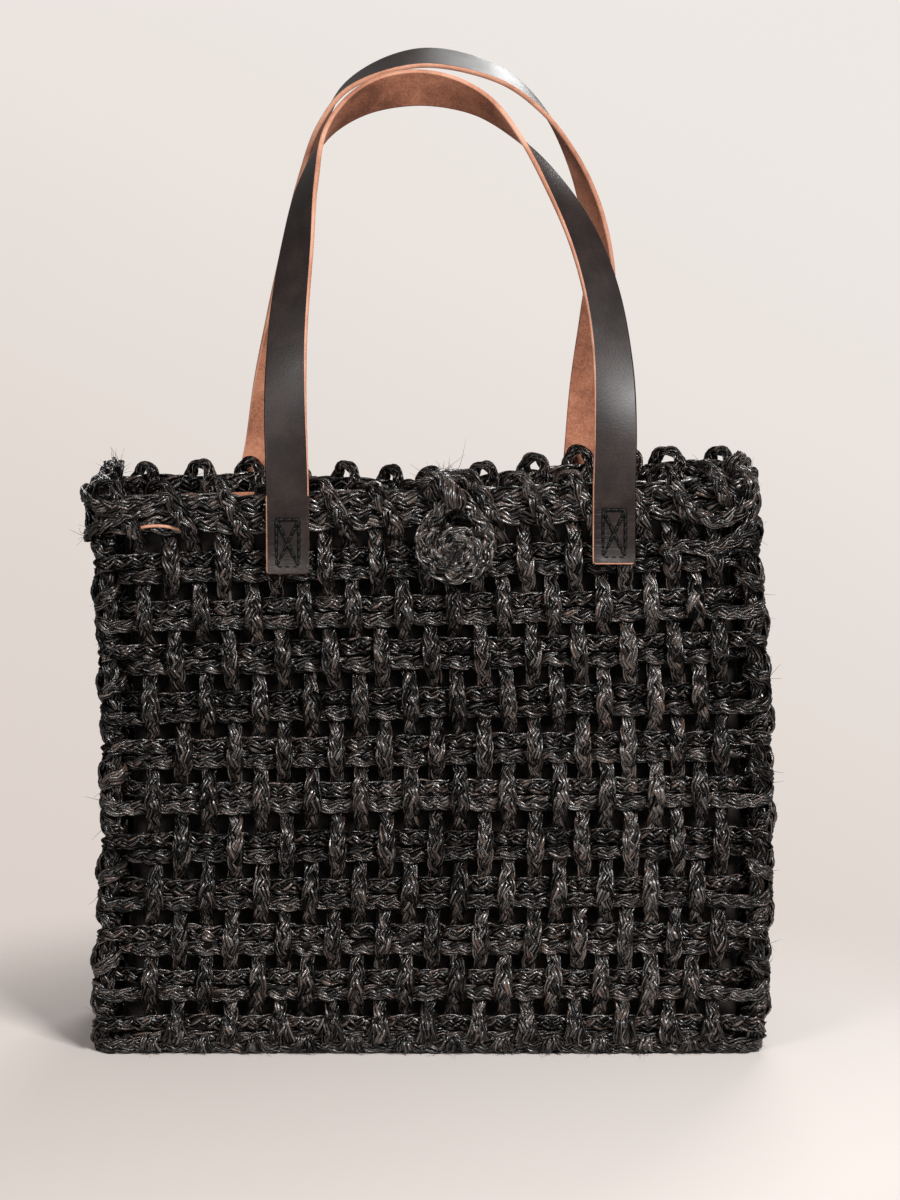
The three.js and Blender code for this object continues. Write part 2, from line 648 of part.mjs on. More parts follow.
addPiece("closure_ring", sweep(ringStations(), ringSection, true), grassCord);

const knotY = WEAVE_DEPTH / 2 - PINCH_DEPTH - rimSwing - PLAIT_THICKNESS / 2 - SEAT_GAP - KNOT_RADIUS;
function bridgeStations() {
  const bridgeTopZ = rimTopZ + SEAT_GAP + BRIDGE_THICKNESS / 2;
  const frontY = ringY + RING_CORD / 2 + SEAT_GAP;
  const route = [
    [KNOT_X, knotY - KNOT_RADIUS - SEAT_GAP, KNOT_Z],
    [KNOT_X - BRIDGE_SWAY, knotY - BRIDGE_KNOT_SPAN, KNOT_Z + BRIDGE_KNOT_RISE],
    [bridgeFrontX + BRIDGE_SWAY, -WEAVE_DEPTH / 2 + BRIDGE_BEND_SPAN, bridgeTopZ - BRIDGE_END_DROP],
    [bridgeFrontX, -WEAVE_DEPTH / 2 + BRIDGE_FLAT_SPAN, bridgeTopZ],
    [bridgeFrontX, frontY, bridgeTopZ - BRIDGE_END_DROP],
  ];
  return route.map((point) => ({ point: new THREE.Vector3(...point), facing: up.clone() }));
}
const bridgeSection = roundSection(BRIDGE_WIDTH / 2, BRIDGE_THICKNESS / 2, LOOP_SIDES);
addPiece("closure_bridge", sweep(bridgeStations(), bridgeSection, false), grassCord);

function knotBarrel() {
  const [l, r] = [KNOT_LENGTH / 2, KNOT_RADIUS];
  const end = KNOT_END_SHARE * r;
  const profile = [[0, -l], [end, -l], [r, -l / 2], [r, l / 2], [end, l], [0, l]];
  const geometry = new THREE.LatheGeometry(profile.map(([x, y]) => new THREE.Vector2(x, y)), KNOT_SIDES);
  geometry.rotateZ(-Math.PI / 2);
  geometry.translate(KNOT_X, knotY, KNOT_Z);
  return geometry;
}
addPiece("closure_knot", knotBarrel(), grassCord);

// The part's frame: its origin is the middle of its footprint, on the ground
const model = new THREE.Group();
model.add(bag);
bag.updateMatrixWorld(true);
const box = new THREE.Box3().setFromObject(bag, true);
const middle = box.getCenter(new THREE.Vector3());
bag.position.set(-middle.x, -middle.y, -box.min.z);

// Joint axes and sizes in the part's frame
const size = box.getSize(new THREE.Vector3());
function place(...point) {
  return point.map((v, i) => (v + bag.position.getComponent(i)).toFixed(2)).join(", ");
}
console.log("overall size " + size.toArray().map((v) => v.toFixed(1)).join(" x ") + " mm");
const hingeY = strapY + STRAP_THICKNESS / 2 + SEAT_GAP;
console.log("front handle hinge at " + place(0, -hingeY, TAB_TOP_Z + SEAT_GAP / 2));
console.log("back handle hinge at " + place(0, hingeY, TAB_TOP_Z + SEAT_GAP / 2));
console.log("closure bridge hinge at " + place(KNOT_X, knotY, KNOT_Z));
console.log("closure ring hinge at " + place(RING_TOP_X, ringY, ringTopZ));

export default model;
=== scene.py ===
# %% [markdown]
# A tote bag woven from dark grass plaits, dressed round its imported model.
# The real bag is soft and hand-made: doubled plaits run round it as courses, single plaits pass
# between them and loop over the rim, a cloth pouch hangs inside and two leather straps are sewn on.
# The imported model already holds every piece at its size and place, so each new surface here starts
# from the same sizes and is worked out in millimetres, then put into the model's frame in metres.

# %% Load the imported model, with a helper that reads a part's box
import math

import bpy
import numpy as np
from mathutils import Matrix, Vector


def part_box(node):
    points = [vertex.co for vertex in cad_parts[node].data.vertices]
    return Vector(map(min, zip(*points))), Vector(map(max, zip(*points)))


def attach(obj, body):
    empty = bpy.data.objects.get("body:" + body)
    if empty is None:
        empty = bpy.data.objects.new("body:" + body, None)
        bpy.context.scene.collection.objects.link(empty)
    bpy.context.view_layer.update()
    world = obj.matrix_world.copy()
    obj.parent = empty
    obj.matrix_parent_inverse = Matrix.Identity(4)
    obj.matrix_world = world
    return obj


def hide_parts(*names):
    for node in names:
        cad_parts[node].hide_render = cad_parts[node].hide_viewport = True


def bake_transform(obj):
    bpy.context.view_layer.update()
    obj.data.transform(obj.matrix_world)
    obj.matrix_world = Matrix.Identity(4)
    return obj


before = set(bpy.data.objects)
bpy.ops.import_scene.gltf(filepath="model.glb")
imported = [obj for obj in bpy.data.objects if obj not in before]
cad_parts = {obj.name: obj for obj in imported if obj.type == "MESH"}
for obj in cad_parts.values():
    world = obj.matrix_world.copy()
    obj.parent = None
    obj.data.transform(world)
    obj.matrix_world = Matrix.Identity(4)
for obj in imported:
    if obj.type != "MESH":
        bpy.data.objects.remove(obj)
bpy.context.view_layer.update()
MM = 0.001

# %% [markdown]
# The camera stands where the photograph was taken from, above the rim, and looks slightly down
# through a long lens. A long lens keeps the front of the bag nearly square.

# %% Camera
CAMERA_PLACE = (0.0084, -1.7578, 0.4691)
CAMERA_PITCH = 7.61
CAMERA_LENS = 99.8


def add_object(name, data):
    """A new object that holds the data, linked into the scene."""
    added = bpy.data.objects.new(name, data)
    bpy.context.scene.collection.objects.link(added)
    return added


camera_data = bpy.data.cameras.new("photo_camera")
camera_data.sensor_fit = "VERTICAL"
camera_data.sensor_height = 36
camera_data.lens = CAMERA_LENS
camera = add_object("photo_camera", camera_data)
camera.location = CAMERA_PLACE
camera.rotation_euler = (math.radians(90 - CAMERA_PITCH), 0, 0)
bpy.context.scene.camera = camera
bpy.context.scene.view_settings.view_transform = "Standard"
print("camera at", CAMERA_PLACE)

# %% [markdown]
# Shader trees are easier to read when one short call makes a node, sets it and links it.
# These helpers do that for every material below.


# %% Helpers for shader nodes
def node(tree, kind, inputs=None, **settings):
    """Adds a node of a kind, sets its properties, and sets or links its inputs."""
    made = tree.nodes.new(kind)
    for key, value in settings.items():
        setattr(made, key, value)
    for key, value in (inputs or {}).items():
        if isinstance(value, bpy.types.NodeSocket):
            tree.links.new(value, made.inputs[key])
        else:
            made.inputs[key].default_value = value
    return made


def maths(tree, operation, first, second=0.0, clamp=False):
    """One Math node: the operation on two values or sockets."""
    made = node(tree, "ShaderNodeMath", {0: first, 1: second}, operation=operation)
    made.use_clamp = clamp
    return made.outputs[0]


def plus(tree, base, value, share):
    """base + value * share."""
    return maths(tree, "ADD", base, maths(tree, "MULTIPLY", value, share))


def noise(tree, vector, scale, detail, roughness=0.5):
    """Smooth noise at a vector, from 0 to 1 and mostly near the middle."""
    given = {"Vector": vector, "Scale": scale, "Detail": detail, "Roughness": roughness}
    return node(tree, "ShaderNodeTexNoise", given).outputs["Fac"]


def remap(tree, value, low, high, to_low=0.0, to_high=1.0):
    """Maps a value smoothly from one range to another, held at both ends."""
    made = node(
        tree,
        "ShaderNodeMapRange",
        {"Value": value, "From Min": low, "From Max": high, "To Min": to_low, "To Max": to_high},
        interpolation_type="SMOOTHSTEP",
    )
    return made.outputs["Result"]


def ramp(tree, value, stops):
    """A colour ramp from a list of (position, (red, green, blue)) stops."""
    made = node(tree, "ShaderNodeValToRGB", {"Fac": value})
    elements = made.color_ramp.elements
    while len(elements) < len(stops):
        elements.new(1.0)
    for element, (position, colour) in zip(elements, stops):
        element.position = position
        element.color = (*colour, 1)
    return made.outputs["Color"]


def new_material(name):
    """An empty node material and its tree."""
    material = bpy.data.materials.new(name)
    material.use_nodes = True
    material.node_tree.nodes.clear()
    return material, material.node_tree


def finish_material(tree, shader):
    """Links a shader to the material's output."""
    node(tree, "ShaderNodeOutputMaterial", {"Surface": shader})


def finish_surface(tree, settings, height, strength, distance):
    """Ends a material in a Principled shader with these settings, raised by a bump of a height."""
    bump = {"Height": height, "Strength": strength, "Distance": distance}
    normal = node(tree, "ShaderNodeBump", bump).outputs[0]
    shader = node(tree, "ShaderNodeBsdfPrincipled", {"Normal": normal, **settings})
    finish_material(tree, shader.outputs[0])


def surface_uv(tree):
    """A piece's UV map: metres along it, and the share of a turn round it."""
    return node(tree, "ShaderNodeUVMap", uv_map="UVMap").outputs["UV"]


def axes(tree, vector):
    """The three numbers of a vector, by the names X, Y and Z."""
    return node(tree, "ShaderNodeSeparateXYZ", {0: vector}).outputs


# %% [markdown]
# The photograph has a pale cloth behind and under the bag. A wall would stand in the way of the
# views from behind, so the pale backdrop is the world's own colour as the camera sees it, and the
# floor fades into it with distance. The floor keeps the bag's soft shadow.

# %% World and floor
WORLD_LIGHT = 0.26
WORLD_LIGHT_COLOUR = (1, 0.985, 0.965, 1)
# The backdrop's painted light: it is painted paler with height, and to the right by this share of
# that
BACKDROP_SLANT = 0.45
BACKDROP_MOTTLE = 0.03
BACKDROP_LOW = -0.32
BACKDROP_HIGH = 0.1
BACKDROP_STOPS = [
    (0.0, (0.71, 0.63, 0.59)),
    (0.45, (0.77, 0.70, 0.655)),
    (1.0, (0.855, 0.81, 0.775)),
]
FLOOR_RADIUS = 3.0
FLOOR_SIDES = 96
FLOOR_CLEAR_FROM = 0.24
FLOOR_CLEAR_TO = 0.46
# The floor is solid round this place, in front of the bag, and clears with distance from it
FLOOR_MIDDLE = (0.0, -0.1, 0.0)
FLOOR_MOTTLE = 0.12
# How far across the floor's painted shade, darker at the left, begins to grow paler, and where it
# ends
FLOOR_DARK_AT = -0.3
FLOOR_PALE_AT = 0.4
FLOOR_STOPS = [(0.0, (0.64, 0.575, 0.54)), (1.0, (0.69, 0.635, 0.605))]

world = bpy.data.worlds.new("pale_world")
bpy.context.scene.world = world
world.use_nodes = True
tree = world.node_tree
tree.nodes.clear()
direction = node(tree, "ShaderNodeTexCoord").outputs["Generated"]
split = axes(tree, direction)
height = plus(tree, split["Z"], split["X"], BACKDROP_SLANT)
height = plus(tree, height, noise(tree, direction, 9.0, 3.0), BACKDROP_MOTTLE)
backdrop = ramp(tree, remap(tree, height, BACKDROP_LOW, BACKDROP_HIGH), BACKDROP_STOPS)
seen = node(tree, "ShaderNodeBackground", {"Color": backdrop, "Strength": 1.0})
lighting = {"Color": WORLD_LIGHT_COLOUR, "Strength": WORLD_LIGHT}
light = node(tree, "ShaderNodeBackground", lighting)
is_camera = node(tree, "ShaderNodeLightPath").outputs["Is Camera Ray"]
mixed = node(tree, "ShaderNodeMixShader", {0: is_camera, 1: light.outputs[0], 2: seen.outputs[0]})
node(tree, "ShaderNodeOutputWorld", {"Surface": mixed.outputs[0]})

floor_material, tree = new_material("pale_floor")
place_on_floor = node(tree, "ShaderNodeTexCoord").outputs["Object"]
from_middle = node(
    tree, "ShaderNodeVectorMath", {0: place_on_floor, 1: FLOOR_MIDDLE}, operation="SUBTRACT"
).outputs["Vector"]
far = node(tree, "ShaderNodeVectorMath", {0: from_middle}, operation="LENGTH").outputs["Value"]
mottle = noise(tree, place_on_floor, 5.0, 4.0)
shade = plus(tree, axes(tree, place_on_floor)["X"], mottle, FLOOR_MOTTLE)
floor_colour = ramp(tree, remap(tree, shade, FLOOR_DARK_AT, FLOOR_PALE_AT), FLOOR_STOPS)
cloth = node(tree, "ShaderNodeBsdfDiffuse", {"Color": floor_colour})
clear = node(tree, "ShaderNodeBsdfTransparent")
fade = remap(tree, far, FLOOR_CLEAR_FROM, FLOOR_CLEAR_TO)
floor_mix = node(tree, "ShaderNodeMixShader", {0: fade, 1: cloth.outputs[0], 2: clear.outputs[0]})
finish_material(tree, floor_mix.outputs[0])

around = np.linspace(0, 2 * np.pi, FLOOR_SIDES, endpoint=False)
edge = FLOOR_RADIUS * np.stack([np.cos(around), np.sin(around), 0 * around], 1)
floor_mesh = bpy.data.meshes.new("floor")
floor_mesh.from_pydata(edge.tolist(), [], [list(range(FLOOR_SIDES))])
floor_mesh.materials.append(floor_material)
floor_object = add_object("floor", floor_mesh)
print("world light", WORLD_LIGHT)

# %% [markdown]
# The light in the photograph is soft, with satin highlights on the cords and one broad reflection
# on the straps. The key lamp stands to the right in front of the bag and above it. A weaker lamp
# fills in from the left, and one behind the bag lights its back.

# %% Lamps
LAMP_TARGET = (0, 0, 0.2)
# The place, edge and power of each lamp
LAMPS = {
    "key_lamp": ((0.95, -1.6, 1.5), 0.6, 60),
    "fill_lamp": ((-1.2, -1.7, 0.9), 0.6, 15),
    "back_lamp": ((0.5, 1.8, 1.6), 0.9, 25),
}


def soft_lamp(name, place, size, power):
    """A square area lamp at a place, turned to face the target."""
    data = bpy.data.lights.new(name, "AREA")
    data.shape = "SQUARE"
    data.size = size
    data.energy = power
    lamp = add_object(name, data)
    aim = np.array(LAMP_TARGET) - np.array(place)
    flat = math.hypot(aim[0], aim[1])
    lamp.location = place
    lamp.rotation_euler = (math.atan2(flat, -aim[2]), 0, math.atan2(-aim[0], aim[1]))


for name, (place, size, power) in LAMPS.items():
    soft_lamp(name, place, size, power)
print("lamps placed")

# %% [markdown]
# Every cord, strap and thread here is a surface swept along a path. A path is a few points that a
# smooth curve runs through. The curve is the centripetal Catmull-Rom kind, because it passes
# through each point and makes no loops of its own where points lie close together.

# %% Paths as whole arrays
# A random turn is drawn from 0 to almost a full circle
ANY_TURN = 6.28
# The waves of a slow variation: each one's height, and its length, as shares of the first
WANDER_SHARES = (1.0, 0.53, 0.31)


def smoothstep(value, low, high):
    """0 below low, 1 above high, and 3t^2 - 2t^3 between."""
    t = np.clip((np.asarray(value, float) - low) / (high - low), 0, 1)
    return t * t * (3 - 2 * t)


def unit(vectors):
    """Vectors divided by their lengths."""
    return vectors / np.linalg.norm(vectors, axis=-1, keepdims=True)


def root_spans(a, b):
    """The square root of the distance from each point of a to its partner in b."""
    return np.sqrt(np.linalg.norm((b - a)[..., :3], axis=-1, keepdims=True)) + 1e-6


def through(points, loop=False, per_span=10):
    """A centripetal Catmull-Rom curve through rows of points, of any number of columns.

    Each span blends four neighbouring points by knots that are the square roots of the distances
    between them, measured on the first three columns."""
    points = np.asarray(points, float)
    if loop:
        padded = np.concatenate([points[-1:], points, points[:2]])
    else:
        first = 2 * points[:1] - points[1:2]
        last = 2 * points[-1:] - points[-2:-1]
        padded = np.concatenate([first, points, last])
    p0, p1, p2, p3 = (padded[i : len(padded) - 3 + i][:, None] for i in range(4))
    t1 = root_spans(p0, p1)
    t2 = t1 + root_spans(p1, p2)
    t3 = t2 + root_spans(p2, p3)
    t = t1 + (t2 - t1) * (np.arange(per_span) / per_span)[None, :, None]
    a1 = (t1 - t) / t1 * p0 + t / t1 * p1
    a2 = (t2 - t) / (t2 - t1) * p1 + (t - t1) / (t2 - t1) * p2
    a3 = (t3 - t) / (t3 - t2) * p2 + (t - t2) / (t3 - t2) * p3
    b1 = (t2 - t) / t2 * a1 + t / t2 * a2
    b2 = (t3 - t) / (t3 - t1) * a2 + (t - t1) / (t3 - t1) * a3
    curve = ((t2 - t) / (t2 - t1) * b1 + (t - t1) / (t2 - t1) * b2).reshape(-1, points.shape[1])
    return curve if loop else np.concatenate([curve, points[-1:]])


def arc_lengths(points):
    """The length along a path at each of its points."""
    return np.concatenate([[0], np.cumsum(np.linalg.norm(np.diff(points[:, :3], axis=0), axis=1))])


def evenly(rows, step, loop=False, closer=0.0):
    """Rows taken again at equal steps along a path, where a turn of one radian counts as further
    length, so that tight bends get more of them.

    Gives the rows, the arc length at each, and the whole length."""
    if loop:
        rows = np.concatenate([rows, rows[:1]])
    length_at = arc_lengths(rows)
    whole = length_at[-1]
    travel = unit(np.diff(rows[:, :3], axis=0))
    turning = np.linalg.norm(np.diff(travel, axis=0, prepend=travel[:1]), axis=1)
    measure = length_at + closer * np.concatenate([[0], np.cumsum(turning)])
    count = max(4, round(measure[-1] / step))
    wanted = np.interp(np.linspace(0, measure[-1], count + 1), measure, length_at)
    wanted = wanted[:-1] if loop else wanted
    taken = [np.interp(wanted, length_at, rows[:, i]) for i in range(rows.shape[1])]
    return np.stack(taken, 1), wanted, whole


def headings(points, loop=False):
    """The unit direction of travel at each point, from its two neighbours."""
    if loop:
        return unit(np.roll(points, -1, 0) - np.roll(points, 1, 0))
    return unit(np.gradient(points, axis=0))


def square_to(direction, travel):
    """A direction with its part along the travel taken out, as unit vectors."""
    return unit(direction - (direction * travel).sum(-1, keepdims=True) * travel)


def wander(along, whole, rng, size, wave):
    """A slow random variation: three sine waves, each a whole number of times in the length."""
    total = 0
    for share in WANDER_SHARES:
        count = max(1, round(whole / (wave * share)))
        turn = 2 * np.pi * count * along / whole
        total = total + share * np.sin(turn + rng.uniform(0, ANY_TURN))
    return size * total / sum(WANDER_SHARES)


print("path helpers ready")

# %% [markdown]
# A mesh is filled from arrays in one go, because setting vertices one at a time is slow in Python.
# A skin is one closed tube: rings of points joined by quads, with a cap at each end unless the
# tube meets itself. Its UV map holds the length along the cord in metres and the share of a turn
# round it, so that fibres can follow the cord wherever it goes.


# %% Skins and pieces
def skin(rings, along, tone=0.5, loop=False, part=0, cap_part=0):
    """The tube of a (ring, side, xyz) array: quads join each pair on a ring to the next ring."""
    count, sides, _ = rings.shape
    ring = np.arange(count if loop else count - 1)[:, None]
    side = np.arange(sides)[None, :]
    onward = (ring + 1) % count
    right = (side + 1) % sides
    here, there = ring * sides, onward * sides
    corners = [here + side, here + right, there + right, there + side]
    quads = np.stack([np.broadcast_to(c, (len(ring), sides)) for c in corners], -1).reshape(-1, 4)
    ends = np.append(along, along[-1] + (along[1] - along[0])) if loop else along
    u = ends[ring], ends[ring], ends[ring + 1], ends[ring + 1]
    v = side / sides, (side + 1) / sides, (side + 1) / sides, side / sides
    uv = np.stack([np.stack(np.broadcast_arrays(a * MM, b), -1) for a, b in zip(u, v)], 2)
    caps = [] if loop else [np.arange(sides)[::-1], (count - 1) * sides + np.arange(sides)]
    return {
        "points": rings.reshape(-1, 3),
        "sides": sides,
        "quads": quads,
        "uv": uv.reshape(-1, 2),
        "caps": caps,
        "cap_parts": np.full(len(caps), cap_part),
        "tone": np.broadcast_to(np.asarray(tone, float).reshape(-1, 1), (count, sides)).ravel(),
        "part": np.broadcast_to(np.asarray(part), (len(quads),)) if np.ndim(part) == 0 else part,
    }


def thread(points, radii, sides=3, tone=0.5):
    """A thin round tube along points: each ring is side * cos + up * sin, times its radius."""
    travel = headings(points)
    side = unit(np.cross(travel, (0.11, 0.97, 0.23)))
    up = np.cross(travel, side)
    around = 2 * np.pi * np.arange(sides)[None, :, None] / sides
    ring = side[:, None] * np.cos(around) + up[:, None] * np.sin(around)
    rings = points[:, None] + ring * np.reshape(radii, (-1, 1, 1))
    return skin(rings, arc_lengths(points), tone)


def make_piece(name, skins, materials, body, replaced=()):
    """One mesh object from many skins, in metres in the model's frame, riding on a body.

    Nothing goes below the floor: what would is flattened on it."""
    starts = np.cumsum([0] + [len(s["points"]) for s in skins])
    points = np.concatenate([s["points"] for s in skins]) + SHIFT
    points[:, 2] = np.maximum(points[:, 2], 0)
    quads = np.concatenate([s["quads"] + start for s, start in zip(skins, starts)])
    caps = [cap + start for s, start in zip(skins, starts) for cap in s["caps"]]
    corner_list = [quads.ravel(), *caps]
    uv_list = [np.concatenate([s["uv"] for s in skins]), *(np.zeros((len(c), 2)) for c in caps)]
    sizes = np.concatenate([np.full(len(quads), 4), [len(c) for c in caps]]).astype(int)
    mesh = bpy.data.meshes.new(name)
    mesh.vertices.add(len(points))
    mesh.vertices.foreach_set("co", (points * MM).ravel())
    mesh.loops.add(int(sizes.sum()))
    mesh.loops.foreach_set("vertex_index", np.concatenate(corner_list).astype(np.int32))
    mesh.polygons.add(len(sizes))
    mesh.polygons.foreach_set("loop_start", (np.cumsum(sizes) - sizes).astype(np.int32))
    mesh.polygons.foreach_set("use_smooth", np.ones(len(sizes), bool))
    part = np.concatenate([s[key] for key in ("part", "cap_parts") for s in skins])
    mesh.polygons.foreach_set("material_index", part.astype(np.int32))
    mesh.uv_layers.new(name="UVMap").data.foreach_set("uv", np.concatenate(uv_list).ravel())
    tone = mesh.attributes.new("tone", "FLOAT", "POINT")
    tone.data.foreach_set("value", np.concatenate([s["tone"] for s in skins]))
    mesh.update(calc_edges=True)
    mesh.validate()
    for material in materials:
        mesh.materials.append(material)
    piece = add_object(name, mesh)
    if body:
        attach(piece, body)
    if replaced:
        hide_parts(*replaced)
    return piece


print("mesh helpers ready")

# %% [markdown]
# The weave's sizes, in millimetres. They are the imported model's: courses a fixed step apart, a
# rim above them, upright cords at even places, and a bag a little wider at its base. The shift
# from this drawing frame to the model's frame is read from where the lowest course lies.

# %% Sizes of the weave
HALF_DEPTH = 53.0
BASE_HALF_WIDTH = 174.0
RIM_HALF_WIDTH = 168.0
CORNER_RADIUS = 9.0
COURSES = 11
COURSE_PITCH = 24.5
COURSE_HEIGHT = 15.2
FIRST_COURSE_Z = 15.0
RIM_Z = 289.1
RIM_TOP_Z = 298.6
# How many cords stand on a long face, the two on its corners with them, and on a narrow side
FRONT_CORDS = 26
FRONT_PITCH = 12.87
SIDE_CORDS = 8
SIDE_PITCH = 11.4
PINCH_DEPTH = 14.0
PINCH_REACH = 103.0
PINCH_FROM_Z = 90.0

lowest, highest = (np.array(corner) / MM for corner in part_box("course_01"))
SHIFT = np.array(
    [0, (lowest[1] + highest[1]) / 2, lowest[2] - (FIRST_COURSE_Z - COURSE_HEIGHT / 2)]
)
print("shift to the model's frame, mm:", SHIFT.round(3))

# %% [markdown]
# A point of the weave is given by how far across a face it is, how high, and how far out from the
# middle of the wall. The real bag isn't a box: it leans a little, its courses tilt, and the closing
# loop draws the middle of the back rim forwards and down. One function bends all its points.

# %% The wall of the bag
LEAN_AT_Z = (0, 60, 110, 185, 240, 300)
LEAN_X = (-3.2, -0.6, 1.6, 1.2, -2.2, -6.2)
# How much higher a course is at a distance to the right. It grows from nothing to all of this
# between two heights.
COURSE_TILT = 4.6
TILT_AT_X = 170
TILT_FROM_Z = -10
TILT_TO_Z = 290
# The middle of the back dips by this much, also between two heights
BACK_DIP = 5.0
DIP_FROM_Z = 170
DIP_TO_Z = 300
# Where the pinch and the dip begin on the way back, and where they are whole
BACK_FROM_Y = 25
BACK_TO_Y = 42
# How far each course has slipped from its even place, lowest first
COURSE_SLIP = (-2.6, -2.4, -2.5, -2.2, -1.3, 0.5, 0.2, 0.6, 1.8, 0.2, 1.0)
# How far the middle cords of a face stand to one side, and how far out that has faded
COLUMN_DRIFT = 6.0
DRIFT_REACH = 152


def half_width(z):
    """Half the bag's width at a height: straight from the lowest course to the rim."""
    return np.interp(z, (FIRST_COURSE_Z, RIM_Z), (BASE_HALF_WIDTH, RIM_HALF_WIDTH))


def course_z(k):
    """The height of course k, with its own slip."""
    return FIRST_COURSE_Z + k * COURSE_PITCH + COURSE_SLIP[k]


def settle(points):
    """Bends the square bag into its real stance: its back is drawn in, and it leans and tilts."""
    x, y, z = np.moveaxis(np.asarray(points, float)[..., :3], -1, 0)
    bump = np.cos(np.clip(np.abs(x) / PINCH_REACH, 0, 1) * np.pi / 2) ** 2
    behind = smoothstep(y, BACK_FROM_Y, BACK_TO_Y)
    drawn = y - PINCH_DEPTH * bump * smoothstep(z, PINCH_FROM_Z, RIM_Z) * behind
    leaned = x + np.interp(z, LEAN_AT_Z, LEAN_X)
    tilted = z + COURSE_TILT * (x / TILT_AT_X) * smoothstep(z, TILT_FROM_Z, TILT_TO_Z)
    dipped = tilted - BACK_DIP * bump * smoothstep(z, DIP_FROM_Z, DIP_TO_Z) * behind
    return np.stack([leaned, drawn, dipped], -1)


def on_face(face, u, z, w):
    """Where a face's point is on the square bag: u across, z up, and w out from the wall."""
    u, z, w = np.broadcast_arrays(*(np.asarray(value, float) for value in (u, z, w)))
    if face == "front":
        return np.stack([u, -(HALF_DEPTH + w), z], -1)
    if face == "back":
        return np.stack([-u, HALF_DEPTH + w, z], -1)
    if face == "right":
        return np.stack([half_width(z) + w, u, z], -1)
    return np.stack([-(half_width(z) + w), -u, z], -1)


ACROSS = {"front": (1, 0, 0), "back": (-1, 0, 0), "right": (0, 1, 0), "left": (0, -1, 0)}
OUT = {"front": (0, -1, 0), "back": (0, 1, 0), "right": (1, 0, 0), "left": (-1, 0, 0)}
LONG_FACES = ("front", "back")
SHORT_FACES = ("right", "left")


def column_places(face):
    """The places across a face of its upright cords, without the two on the corners."""
    if face in SHORT_FACES:
        return (np.arange(SIDE_CORDS) - (SIDE_CORDS - 1) / 2) * SIDE_PITCH
    even = (np.arange(1, FRONT_CORDS - 1) - (FRONT_CORDS - 1) / 2) * FRONT_PITCH
    drift = COLUMN_DRIFT if face == "front" else -COLUMN_DRIFT / 2
    return even + drift * (1 - (even / DRIFT_REACH) ** 4)


print("front cords at", column_places("front").round(1))

# %% [markdown]
# A plait is three flat strands of grass that take turns to cross the middle. Each strand's middle
# swings from side to side once in a period while it rises and falls twice, a third of a period
# after the strand before. That is the classic braid, and two sine waves give it, one for the swing
# and one for the rise and fall, each of them flattened a little.
# A strand is a flat bundle of parallel stems, so each is made of a few thin tubes side by side on
# a shallow arch. Stems drift and swell a little, and no two crossings look the same.

# %% A plait
PERIOD = 26.0
FRONT_DETAIL = {"stems": 3, "sides": 3, "step": 1.6}
HIDDEN_DETAIL = {"stems": 3, "sides": 3, "step": 2.2}
COARSE_DETAIL = {"stems": 3, "sides": 5, "step": 1.4}
# Half a strand's width and thickness, as shares of the plait's
STRAND_SHARES = (0.3, 0.2)
# How far neighbouring stems overlap, a stem's thickness, and the arch, as shares of the strand's
STEM_OVERLAP = 1.6
STEM_THICKNESS = 0.6
STEM_ARCH = 1.15
# A strand's width in the middle of the plait, and what it loses where it folds at the edge
LEAF_WIDEST = 1.12
LEAF_NARROWING = 0.46
# How much of a plait's thickness its strands rise and fall through
LIFT_SHARE = 0.6
# How much length a turn of one radian counts for when a cord's rings are placed
BEND_LENGTH = 3.5
# How much the tones of strands differ, and those of the stems in a strand
STRAND_TONES = 0.13
STEM_TONES = 0.12
# Each stem's fibres start at a place of their own, up to this far along the pattern
FIBRE_STARTS = 4000


